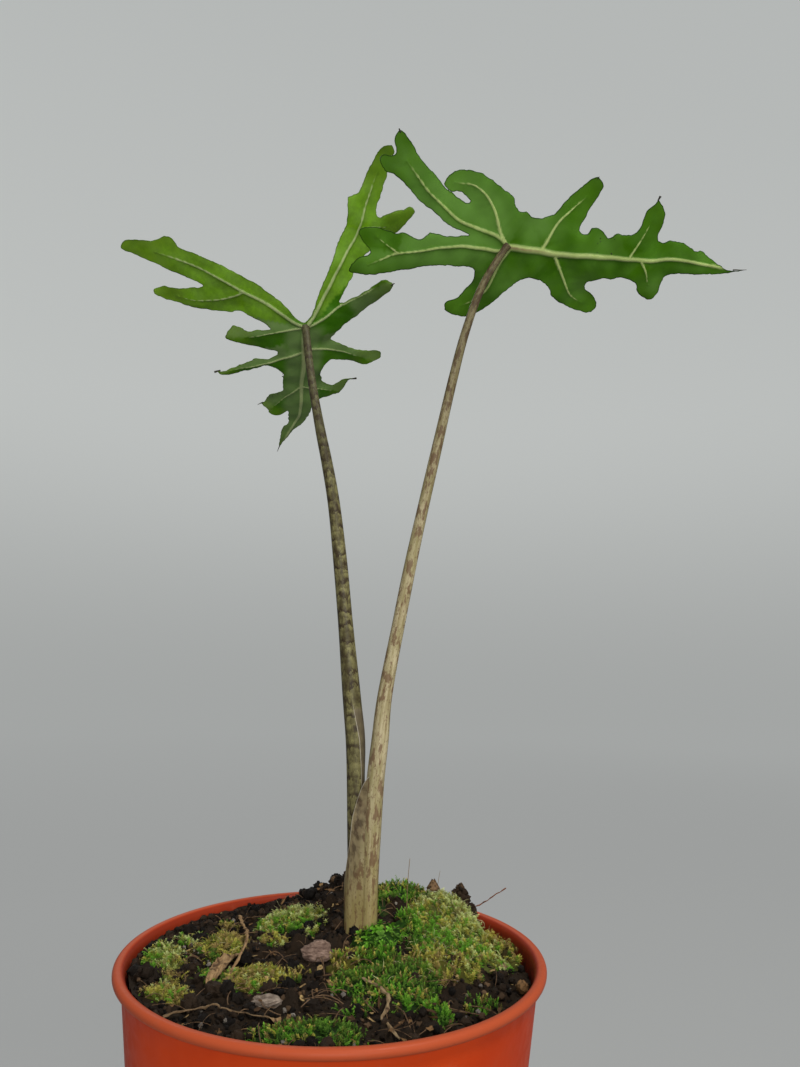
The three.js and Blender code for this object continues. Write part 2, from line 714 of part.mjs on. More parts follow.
// Heights of the veins over the leaf's plane, at stations 2 mm apart
function liftVeins(leaf) {
  const lifted = {};
  for (const [name, vein] of Object.entries(leaf.veins)) {
    const stations = alongVein(vein.path, 2);
    let start = 0;
    if (vein.from) {
      const [u, v] = vein.path[0];
      const apart = (station) => Math.hypot(station.u - u, station.v - v);
      const closer = (best, station) => (apart(station) < apart(best) ? station : best);
      start = lifted[vein.from].reduce(closer).lift;
    }
    lifted[name] = stations.map((station) => ({
      ...station,
      lift: start + (vein.rise - start) * station.share ** BLADE.veinPower,
      width: vein.width * (1 - BLADE.veinTaper * station.share),
    }));
  }
  return Object.values(lifted).flat();
}

// The height of the blade over its plane: a soft mean of the vein heights, with
// the blade puckered up between the veins and a slow ripple over all
function bladeHeight(veins, u, v) {
  let sum = 0;
  let weights = 0;
  let nearest = Infinity;
  for (const vein of veins) {
    const away = (vein.u - u) ** 2 + (vein.v - v) ** 2;
    const weight = 1 / (away + BLADE.softness ** 2) ** 2;
    sum += weight * vein.lift;
    weights += weight;
    nearest = Math.min(nearest, away);
  }
  const pucker = BLADE.pucker * (1 - Math.exp(-Math.sqrt(nearest) / BLADE.puckerReach));
  const ripple = RIPPLES.reduce((total, wave) => {
    const along = Math.sin(wave.along * u + wave.alongPhase);
    return total + wave.height * along * Math.sin(wave.across * v + wave.acrossPhase);
  }, 0);
  return sum / weights + pucker + ripple;
}

// How far a vein stands out of the underside
function ribHeight(veins, u, v) {
  let rib = 0;
  for (const vein of veins) {
    const away = Math.hypot(vein.u - u, vein.v - v);
    const share = 1 - away / (BLADE.ribReach * vein.width);
    rib = Math.max(rib, BLADE.ribHeight * vein.width * Math.max(0, share));
  }
  return rib;
}

function sampleOutline(leaf) {
  const corners = Object.values(leaf.lobes).flat().map(([u, v]) => new THREE.Vector3(u, v, 0));
  const curve = new THREE.CatmullRomCurve3(corners, true, 'centripetal');
  const edge = [];
  corners.forEach((corner, i) => {
    const next = corners[(i + 1) % corners.length];
    const steps = Math.max(1, Math.round(corner.distanceTo(next) / BLADE.edgeStep));
    for (let k = 0; k < steps; k += 1) {
      const point = curve.getPoint((i + k / steps) / corners.length);
      edge.push(new THREE.Vector2(point.x, point.y));
    }
  });
  return edge;
}

function inside(edge, u, v) {
  let odd = false;
  for (let i = 0, j = edge.length - 1; i < edge.length; j = i, i += 1) {
    const a = edge[i];
    const b = edge[j];
    if ((a.y > v) !== (b.y > v) && u < ((b.x - a.x) * (v - a.y)) / (b.y - a.y) + a.x) odd = !odd;
  }
  return odd;
}

// Delaunay triangles of flat points, added one by one
function triangulate(points) {
  const far = 1000;
  const frame = [[-far, -far], [far, -far], [0, far]].map(([x, y]) => new THREE.Vector2(x, y));
  const all = [...points, ...frame];
  const n = points.length;
  const circled = (a, b, c) => {
    const [p, q, r] = [all[a], all[b], all[c]];
    const d = 2 * (p.x * (q.y - r.y) + q.x * (r.y - p.y) + r.x * (p.y - q.y));
    const [pp, qq, rr] = [p.lengthSq(), q.lengthSq(), r.lengthSq()];
    const x = (pp * (q.y - r.y) + qq * (r.y - p.y) + rr * (p.y - q.y)) / d;
    const y = (pp * (r.x - q.x) + qq * (p.x - r.x) + rr * (q.x - p.x)) / d;
    return { corners: [a, b, c], x, y, radiusSq: (p.x - x) ** 2 + (p.y - y) ** 2 };
  };
  let triangles = [circled(n, n + 1, n + 2)];
  points.forEach((point, i) => {
    const hit = (triangle) => (point.x - triangle.x) ** 2 + (point.y - triangle.y) ** 2 < triangle.radiusSq;
    const open = new Map();
    for (const { corners } of triangles.filter(hit)) {
      for (let k = 0; k < 3; k += 1) {
        const [a, b] = [corners[k], corners[(k + 1) % 3]];
        const key = a < b ? `${a} ${b}` : `${b} ${a}`;
        if (open.has(key)) open.delete(key);
        else open.set(key, [a, b]);
      }
    }
    triangles = triangles.filter((triangle) => !hit(triangle));
    for (const [a, b] of open.values()) triangles.push(circled(a, b, i));
  });
  return triangles.map(({ corners }) => corners).filter((corners) => corners.every((corner) => corner < n));
}

// Points inside the outline: along the veins, then a jittered lattice
function innerPoints(leaf, edge) {
  const random = randomSource(11);
  const points = [];
  const far = (others, u, v, least) => others.every((other) => Math.hypot(other.x - u, other.y - v) > least);
  const add = (u, v, edgeLeast, least) => {
    if (!inside(edge, u, v) || !far(edge, u, v, edgeLeast) || !far(points, u, v, least)) return;
    points.push(new THREE.Vector2(u, v));
  };
  const veins = Object.values(leaf.veins);
  for (const vein of veins) {
    for (const { u, v } of alongVein(vein.path, BLADE.veinStep)) {
      add(u, v, BLADE.veinEdgeClearance, BLADE.veinSpacing);
    }
  }
  for (const vein of veins.filter(({ width }) => width > 1.1)) {
    for (const { u, v, share, direction } of alongVein(vein.path, BLADE.veinStep)) {
      const half = BLADE.ribReach * vein.width * (1 - BLADE.veinTaper * share);
      for (const side of [-1, 1]) {
        const flankU = u - side * half * direction.y;
        const flankV = v + side * half * direction.x;
        add(flankU, flankV, BLADE.veinEdgeClearance, BLADE.flankSpacing);
      }
    }
  }
  const row = BLADE.lattice * Math.sqrt(0.75);
  const most = Math.ceil(BLADE.reach / row);
  const jitter = 0.1 * BLADE.lattice;
  for (let i = -most; i <= most; i += 1) {
    for (let j = -most; j <= most; j += 1) {
      const u = BLADE.lattice * (i + 0.5 * (j % 2)) + jitter * random();
      const v = row * j + jitter * random();
      add(u, v, BLADE.edgeClearance, 0.6 * BLADE.lattice);
    }
  }
  return points;
}

// Every stretch of the outline becomes a side of some triangle: one that is
// missing is halved, and the points are joined up again
function bladeTriangles(leaf) {
  let edge = sampleOutline(leaf);
  const inner = innerPoints(leaf, edge);
  for (let round = 0; round < 8; round += 1) {
    const points = [...edge, ...inner];
    const triangles = triangulate(points);
    const sides = new Set();
    for (const [a, b, c] of triangles) sides.add(`${a} ${b}`).add(`${b} ${c}`).add(`${c} ${a}`);
    const halved = edge.flatMap((point, i) => {
      const j = (i + 1) % edge.length;
      if (sides.has(`${i} ${j}`) || sides.has(`${j} ${i}`)) return [point];
      return [point, point.clone().lerp(edge[j], 0.5)];
    });
    if (halved.length === edge.length) {
      const kept = triangles.filter(([a, b, c]) => {
        const middle = points[a].clone().add(points[b]).add(points[c]).divideScalar(3);
        return inside(edge, middle.x, middle.y);
      });
      return { points, edgeCount: edge.length, triangles: kept };
    }
    edge = halved;
  }
  throw new Error('the outline could not be joined up');
}

function makeBlade(leaf, net, extra = 0) {
  const frame = leafFrame(leaf);
  const veins = liftVeins(leaf);
  const { points, edgeCount, triangles } = net;
  const nudge = 0.2;
  const place = (u, v, height) => frame.junction.clone()
    .addScaledVector(frame.toTip, u)
    .addScaledVector(frame.across, v)
    .addScaledVector(frame.up, height);
  const top = [];
  const under = [];
  for (const { x: u, y: v } of points) {
    const height = bladeHeight(veins, u, v);
    const slopeU = (bladeHeight(veins, u + nudge, v) - height) / nudge;
    const slopeV = (bladeHeight(veins, u, v + nudge) - height) / nudge;
    // Thickness is measured square to the blade, and laid off square to the plane
    const half = (BLADE.thickness / 2 + extra) * Math.hypot(1, slopeU, slopeV);
    top.push(place(u, v, height + half));
    under.push(place(u, v, height - half - ribHeight(veins, u, v)));
  }
  const n = points.length;
  const faces = [];
  // The triangles face one way round in the plane
  for (const [a, b, c] of triangles) {
    const turn = points[b].clone().sub(points[a]).cross(points[c].clone().sub(points[a]));
    const [p, q, r] = turn > 0 ? [a, b, c] : [a, c, b];
    faces.push([p, q, r], [p + n, r + n, q + n]);
  }
  const edge = points.slice(0, edgeCount);
  const area = edge.reduce((sum, point, i) => sum + point.cross(edge[(i + 1) % edgeCount]), 0);
  for (let i = 0; i < edgeCount; i += 1) {
    const j = (i + 1) % edgeCount;
    const [a, b] = area > 0 ? [i, j] : [j, i];
    faces.push([a, a + n, b + n], [a, b + n, b]);
  }
  return solid([...top, ...under], faces);
}

// The room a blade needs: shifted each way in its plane, so that its edge is clear too
function makeBladeRoom(leaf, net) {
  const { toTip, across } = leafFrame(leaf);
  const room = makeBlade(leaf, net, GAP);
  const shifts = [toTip, across, toTip.clone().negate(), across.clone().negate()];
  return shifts
    .map((shift) => room.translate(shift.clone().multiplyScalar(GAP).toArray()))
    .reduce((all, shifted) => all.add(shifted), room);
}

// Moss, twigs and bark

function makeDome({ x, y, wide, deep, height }) {
  const { sides, rings, root, edge, wobble } = MOSS_DOME;
  const ringAt = (share, lift) => circle(0, 0, 0, share, sides).map((point, j) => {
    const swell = 1 + wobble * Math.sin(3 * j + x);
    const px = x + wide * point.x * swell;
    const py = y + deep * point.y * swell;
    return new THREE.Vector3(px, py, smoothSoil(px, py) + lift);
  });
  const loops = [ringAt(0.7, -root), ringAt(1, -0.4 * root)];
  for (let i = rings; i > 0; i -= 1) {
    const share = i / (rings + 0.35);
    loops.push(ringAt(share, edge + height * (1 - share ** 2)));
  }
  return loft(loops);
}

// A three-sided spike from a foot sunk in the dome to a tip that leans out
function makeShoot(foot, tip) {
  const base = circle(foot.x, foot.y, foot.z, SHOOT.radius, 3);
  return solid([...base, tip], [[0, 2, 1], [0, 1, 3], [1, 2, 3], [2, 0, 3]]);
}

function makeMoss(clump, seed) {
  const random = randomSource(seed);
  const shoots = [];
  for (let i = 0; i < clump.shoots; i += 1) {
    // Shoots are spread evenly by turning on through the golden angle
    const share = 0.92 * Math.sqrt((i + 0.5) / clump.shoots);
    const angle = i * GOLDEN_ANGLE;
    const x = clump.x + clump.wide * share * Math.cos(angle);
    const y = clump.y + clump.deep * share * Math.sin(angle);
    const surface = smoothSoil(x, y) + MOSS_DOME.edge + clump.height * (1 - share ** 2);
    const foot = new THREE.Vector3(x, y, surface - SHOOT.sunk);
    const tip = new THREE.Vector3(
      x + SHOOT.lean * share * Math.cos(angle) + random() - 0.5,
      y + SHOOT.lean * share * Math.sin(angle) + random() - 0.5,
      surface + between(random, SHOOT.length),
    );
    shoots.push(makeShoot(foot, tip));
  }
  return shoots.reduce((moss, shoot) => moss.add(shoot), makeDome(clump));
}

function makeTwig({ stops, radius, tip }, extra = 0) {
  const path = stops.map(([x, y, lift], i) => [
    x, y, smoothSoil(x, y) + lift, THREE.MathUtils.lerp(radius, tip, i / (stops.length - 1)),
  ]);
  return rod(path, 6, 4.5, extra);
}

function makeChunk({ x, y, size, seed }, extra = 0) {
  const random = randomSource(seed);
  const rings = [[0.6, -0.8], [1, -0.2], [0.95, 0.4], [0.55, 0.95]];
  return loft(rings.map(([share, up]) => circle(0, 0, 0, 1, 7).map((point) => {
    const radius = share * (0.82 + 0.3 * random());
    return new THREE.Vector3(
      x + point.x * (size[0] * radius + extra),
      y + point.y * (size[1] * radius + extra),
      smoothSoil(x, y) + size[2] * (0.6 + up) + Math.sign(up) * extra,
    );
  })));
}

// Assembly

const plant = new THREE.Group();

function addMesh(name, body, colour, roughness) {
  const { vertProperties, triVerts } = body.getMesh();
  const geometry = new THREE.BufferGeometry();
  geometry.setAttribute('position', new THREE.BufferAttribute(new Float32Array(vertProperties), 3));
  geometry.setIndex(new THREE.BufferAttribute(new Uint32Array(triVerts), 1));
  const material = new THREE.MeshStandardMaterial({ color: colour, roughness, metalness: 0 });
  const mesh = new THREE.Mesh(geometry, material);
  mesh.name = name;
  plant.add(mesh);
}

const soil = makeSoil();
const soilRoom = soil.translate(0, 0, GAP);
const stemRoom = makeLeftStem(GAP).add(makeRightStem(GAP));
const plantRoom = stemRoom.add(makeCorm(GAP));
const litterRooms = [
  ...TWIGS.map((twig) => makeTwig(twig, GAP)),
  ...CHUNKS.map((chunk) => makeChunk(chunk, GAP)),
];

addMesh('pot', makePot(), COLOURS.terracotta, 0.45);
addMesh('soil', largest(soil.subtract(plantRoom)), COLOURS.peat, 0.95);
addMesh('corm', makeCorm(), COLOURS.corm, 0.8);

const rightNet = bladeTriangles(RIGHT_LEAF);
const leftNet = bladeTriangles(LEFT_LEAF);
const leftStem = makeLeftStem().subtract(makeBladeRoom(LEFT_LEAF, leftNet));
const rightStem = makeRightStem().subtract(makeLeftStem(GAP)).subtract(makeBladeRoom(RIGHT_LEAF, rightNet));
addMesh('petiole_left', largest(leftStem), COLOURS.leftStem, 0.55);
addMesh('petiole_right', largest(rightStem), COLOURS.rightStem, 0.55);
addMesh('blade_left', makeBlade(LEFT_LEAF, leftNet), COLOURS.leftBlade, 0.6);
addMesh('blade_right', makeBlade(RIGHT_LEAF, rightNet), COLOURS.rightBlade, 0.6);

// Each clump keeps clear of the soil, the stems, the dry bits and the clumps before it
let taken = litterRooms.reduce((all, room) => all.add(room), soilRoom.add(stemRoom));
MOSS.forEach((clump, i) => {
  const body = makeMoss(clump, 100 + i);
  addMesh(clump.name, largest(body.subtract(taken)), COLOURS[clump.tone], 0.9);
  const { wide, deep, height } = clump;
  const room = { ...clump, wide: wide + GAP, deep: deep + GAP, height: height + 2 * GAP };
  taken = taken.add(body).add(makeDome(room));
});

for (const twig of TWIGS) {
  addMesh(twig.name, largest(makeTwig(twig).subtract(soilRoom)), COLOURS.twig, 0.8);
}
for (const chunk of CHUNKS) {
  addMesh(chunk.name, largest(makeChunk(chunk).subtract(soilRoom)), COLOURS.bark, 0.9);
}

export default plant;
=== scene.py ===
"""A young alocasia portei aurea: two lobed leaves on mottled stems, in a plant pot of mossy peat.

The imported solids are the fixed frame. Finer pieces stand for them here, shaped by the same named
sizes. Sizes are millimetres until add_piece() turns them into metres.
"""
import math

import bpy
import numpy as np
from mathutils import Matrix, Vector
from mathutils.geometry import delaunay_2d_cdt


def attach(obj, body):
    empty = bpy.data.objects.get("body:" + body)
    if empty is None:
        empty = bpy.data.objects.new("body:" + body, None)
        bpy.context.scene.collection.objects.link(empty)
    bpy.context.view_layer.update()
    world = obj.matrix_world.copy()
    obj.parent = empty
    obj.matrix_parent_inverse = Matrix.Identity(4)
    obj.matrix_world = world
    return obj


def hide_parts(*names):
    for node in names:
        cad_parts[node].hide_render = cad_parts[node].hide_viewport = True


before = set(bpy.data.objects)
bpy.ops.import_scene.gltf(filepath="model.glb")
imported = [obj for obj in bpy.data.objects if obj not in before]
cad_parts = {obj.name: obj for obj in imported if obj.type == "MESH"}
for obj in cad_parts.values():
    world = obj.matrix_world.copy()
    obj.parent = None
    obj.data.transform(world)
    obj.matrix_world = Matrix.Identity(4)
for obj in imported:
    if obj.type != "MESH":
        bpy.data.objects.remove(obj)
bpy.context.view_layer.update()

MM = 0.001
BODY = "root"
GOLDEN_ANGLE = math.radians(137.5)

# Sizes of the pot, the soil and the stems

POT = {
    "height": 95, "rim": 60, "lip": 2.7, "wall_top": 57.7, "foot": 46.3, "wall": 1.0, "floor": 2.2,
    "bead": 1.25, "pad": 26, "ring": 40, "groove": 1, "hole_circle": 33, "hole": 3.5, "holes": 8,
    "sides": 192,
}
POT_SHARP = 38
SOIL_LEVEL = POT["height"] - 6
# Heaps above the soil's level, and dips beside the wall: x, y, height, spread
HEAPS = [(20, 30, 11, 22), (-2, 46, 5, 8), (56, 22, -7, 12), (44, -26, -2, 14)]
LUMPS = {"count": 110, "seed": 7, "radius": (2.2, 4.2), "height": (1, 2.4)}
# Crumbs banked up against the wall, and the turns in degrees between which the bank rises and falls
BANK = {"height": 4.4, "edge": 57, "reach": 7, "start": (-60, -30), "end": (105, 80)}
SOIL = {"gap": 0.3, "rings": 62, "sides": 224}
# Crumbs in three sizes: count, smallest and largest radius, rings and sides of each
CRUMBS = [(130, 1.1, 2.2, 9, 12), (1100, 0.5, 1.1, 5, 7), (2900, 0.2, 0.5, 4, 5)]
# The share of the crumbs that lies along the back and left of the rim, between two turns in degrees
RIM_CRUMBS = {"share": 0.25, "start": 65, "end": 200, "radius": 55.2, "spread": 4.5}
# A heap of crumbs behind the pale mound. Each peak has a height, an x and a half width
RIDGE = {
    "count": 260, "x": (33, 48), "y": (31.5, 36.5), "line": 34, "width": 2.4,
    "peaks": [(9.0, 38.5, 2.8), (5.5, 43.5, 3)],
}
COUNTS = {"flake": 190, "grain": 80, "fibre": 170}
# How far from the pot's middle each kind of thing may lie
REACH = {
    "crumb": 56.2, "thread": 56, "shoot": 55.5, "cushion": 54.6, "carpet": 54.5, "ridge": 54.5,
    "fibre": 54, "grain": 53, "fibre_start": 50,
}

# Each stop of a stem: x, y, z and the stem's radius there
LEFT_STEM = [
    (5.1, 15.5, 87.3, 2.5), (5.0, 15.5, 102.7, 2.5), (4.8, 15.6, 115.8, 2.6), (4.0, 16.1, 139.7, 2.8),
    (3.5, 16.5, 151.9, 3.1), (2.0, 17.0, 164.3, 2.9), (-1.1, 18.3, 189.8, 2.45), (-3.6, 19.7, 209.7, 2.3),
    (-6.7, 21.3, 230.3, 2.1), (-9.7, 22.6, 244.5, 1.9), (-12.3, 23.6, 255.4, 1.75),
    (-16.6, 25.8, 276.0, 1.45), (-19.3, 27.7, 293.4, 1.35),
]
RIGHT_STEM = [
    (9.5, 12.5, 87.3, 2.6), (9.3, 12.5, 103.7, 2.6), (9.4, 12.4, 116.7, 2.7), (10.3, 12.0, 140.4, 2.8),
    (11.4, 11.8, 152.5, 2.7), (12.4, 11.4, 164.8, 2.35), (16.6, 10.5, 189.9, 2.1), (20.0, 9.6, 209.0, 2.0),
    (23.9, 8.5, 228.5, 1.85), (28.0, 7.3, 248.2, 1.7), (32.2, 5.8, 268.1, 1.55), (35.8, 4.6, 283.2, 1.4),
    (40.7, 3.3, 298.1, 1.3), (44.5, 2.2, 305.6, 1.2), (48.6, 1.5, 312.2, 1.15),
]
# The sheath's reach round the left stem at each height: z, share of the closed angle
SHEATH = {
    "levels": [(87.3, 1), (103, 0.93), (113, 0.7), (122, 0.5), (131, 0.36), (142, 0.1)],
    "closed": math.radians(175), "gap": 0.3, "thickness": 0.9, "thinning": 0.45,
}
# The left stem's own closed sheath: heights of its edge, and the edge's turn from +X at each
LEFT_EDGE = [(104, -60), (125, -45), (143, -50), (152, -62), (163, -84)]
# The radius of that edge, what it gains upward, and the heights between which it does
SEAM = {"thin": 0.04, "more": 0.10, "rise": (136, 148)}

# Leaves. A leaf lies on a plane through its junction with the stem. tilt leans the plane back
# from level, turn swings it about Z, heading points to the tip. In the plane, u runs to the tip
# and v across. Outlines and veins are (u, v). A vein lifts off the plane to its rise at its end.
BLADE = {
    "half": 0.24, "edge_step": 0.7, "lattice": 0.95, "pucker": 0.8, "pucker_reach": 4, "softness": 4,
    "vein_power": 1.3, "vein_taper": 0.65, "rib": 0.3, "rib_reach": 0.75,
}
RIPPLES = [(0.4, 0.31, 1.7, 0.27, 0.4), (0.25, 0.73, 0, 0.41, 1.57)]

RIGHT_LEAF = {
    "junction": (49.4, 2, 313.1), "tilt": 42, "turn": -12, "heading": 10.6,
    "lobes": {
        "tip_upper_edge": [
            (82.5, -2.5), (77.5, -1.5), (74.5, -2.5), (69, -5), (66, -6.5), (63, -6.5),
            (60, -8), (54, -8.5), (52, -7.5), (50.5, -7.5),
        ],
        "upper_third": [
            (50, -9), (50, -15), (49, -17.5), (46, -20.5), (45.5, -19), (43.5, -16.5),
            (43, -13), (42.5, -11), (41, -9),
        ],
        "upper_waist": [
            (38, -8.5), (35.5, -8.5), (33.5, -6.5), (31, -8.5), (28, -9), (26, -6.5), (23.5, -7.5),
        ],
        "upper_second": [
            (23.5, -8.5), (25, -12), (27.5, -18.5), (28, -21.5), (25.5, -24), (22, -21),
            (19, -18), (15.5, -14.5), (14, -12),
        ],
        "upper_shoulder": [(12.5, -11), (9.5, -10), (7, -10), (4, -11.5), (2, -11.5), (0, -13)],
        # This lobe curls back until its tip rests on the lobe behind it
        "upper_first": [
            (-1, -15.5), (-4, -17), (-7.5, -19), (-14, -21.5), (-18.7, -21.3), (-21, -20.5),
            (-22.6, -19.2), (-23.6, -17.7), (-24, -16.75), (-22.9, -15.55), (-21.2, -14.75),
            (-19.6, -15.1), (-17.9, -14.8), (-16.3, -13.9), (-14.6, -12.6),
        ],
        "basal_upper": [
            (-14.9, -12), (-16, -11.9), (-18.2, -12.9), (-21.2, -14.55), (-23.1, -15.45), (-24.4, -16.6),
            (-27, -19), (-30, -21), (-34, -25),
            (-36.5, -28), (-40, -30.5), (-41.5, -28), (-40.5, -25), (-40.5, -23.5), (-44, -23),
            (-45, -22), (-44.5, -20), (-43, -18.5), (-39.5, -17.5), (-36.5, -15.5), (-31, -11),
            (-24, -7), (-22, -5.5), (-16.5, -3.5), (-13.5, -2.5),
        ],
        "basal_lower": [
            (-15.5, -2), (-22, -1.5), (-26.5, -2), (-29.5, 0), (-31, 0), (-35.5, -1.5),
            (-37.5, -1), (-44.5, -2), (-48, -1.5), (-49.5, -0.5), (-48.5, 2), (-45, 6),
            (-48.5, 7.5), (-50.5, 9.5), (-51.5, 12.5), (-46, 13), (-39, 12), (-33.5, 10.5),
            (-24, 8.5), (-15, 8), (-11.5, 8), (-9.5, 9),
        ],
        "lower_first": [
            (-8.5, 13), (-10, 16.5), (-12.5, 20.5), (-16, 22), (-16.5, 23), (-16, 25),
            (-13, 26.5), (-9, 27), (-4, 25), (0, 20.5), (3.5, 15.5), (7, 11.5), (9.5, 10),
        ],
        "lower_second": [
            (13, 10), (18.5, 13), (19.5, 15), (25, 18.5), (35, 21), (37.5, 19.5),
            (37.5, 17), (35.5, 14.5), (31.5, 12), (31, 10),
        ],
        "lower_waist": [(32.5, 9), (35.5, 7), (38.5, 7), (42.5, 6), (47, 7)],
        "lower_third": [
            (49.5, 10.5), (54.5, 12.5), (56.5, 9.5), (56.5, 5), (57.5, 3), (64, 1.5), (74, 0),
        ],
    },
    # Each vein: rise, width, the vein that it leaves or None, and its path
    "veins": {
        "mid": (-7, 2.6, None, [
            (0.5, 0), (11, 0), (18, 0.5), (31, -0.5), (42, -1), (50, -1.5), (57, -3), (70, -2.5),
            (80.5, -2),
        ]),
        "basal_upper": (3, 1.9, None, [
            (0.5, 0), (-3.5, -3), (-11.5, -5), (-18, -7), (-22.5, -10), (-29, -14.5), (-32, -17.5),
            (-36.5, -22),
        ]),
        "basal_lower": (-2, 1.9, None, [
            (0.5, 0), (-2.5, 1.5), (-9, 1), (-15, 1), (-21.5, 2), (-29, 3.5), (-36, 5), (-45.5, 9.5),
        ]),
        "basal_lower_branch": (1, 0.9, "basal_lower", [(-36, 5), (-40, 3), (-43.5, 1)]),
        "upper_first": (3.5, 1.3, None, [
            (0.5, 0), (-3, -4), (-6.5, -11), (-10.5, -15.5), (-14.5, -17.5), (-18, -17.5), (-20.5, -17.5),
        ]),
        "upper_second": (3.5, 1.2, "mid", [(12, -1), (16, -10), (19.5, -13.5), (23.5, -17.5)]),
        "upper_third": (-2, 0.9, "mid", [(42, -2), (44.5, -9), (46, -13.5)]),
        "lower_first": (4.5, 1.3, None, [(1, 1), (-1, 5.5), (-2, 10), (-4, 17), (-7.5, 21), (-10.5, 23)]),
        "lower_second": (3, 1.2, "mid", [(17, 1.5), (22, 8.5), (27, 15), (31.5, 17.5)]),
        "lower_third": (-2.5, 0.9, "mid", [(46.5, -0.5), (49, 2.5), (51.5, 7)]),
    },
    # Dark dried points at lobe tips: where each starts and ends, and its radius at both ends
    "points": [
        ((45.9, -20.2), (46.3, -21.7), 0.2, 0.42), ((25.6, -23.4), (25.9, -24.2), 0.25, 0.15),
        ((-39.8, -29.9), (-40.4, -30.9), 0.3, 0.2), ((78.5, -2.1), (83.4, -2.6), 0.24, 0.07),
    ],
    "specks": [
        (30.2, -4.6), (30.8, -6.2), (35.2, -6.8), (30.6, -1.9), (18.6, 1.9), (35.5, -2.0), (31, -5.3),
    ],
    # Places of painted sheen, paler and greyer: u, v, radius and strength
    "pale": [
        (9, -8, 6, 0.9), (-9, -9, 7, 0.8), (-24, -12, 9, 0.45), (33, -4, 4, 0.35), (30, 12, 5, 0.6),
        (54, 7, 3, 0.7), (-20, 4, 14, 0.5), (-42, -24, 6, 0.25), (3, 13, 6, 0.4), (66, -4, 6, 0.3),
    ],
    # Reach of a band of painted sheen along the midrib, the veins with painted sheen close beside them, and
    # how olive the tips are
    "painted_sheen_middle": 0, "glow": ("basal_upper", "basal_lower", "upper_first"), "olive": 0.35,
    "painted_sheen_side": {}, "painted_sheen_from": {},
}

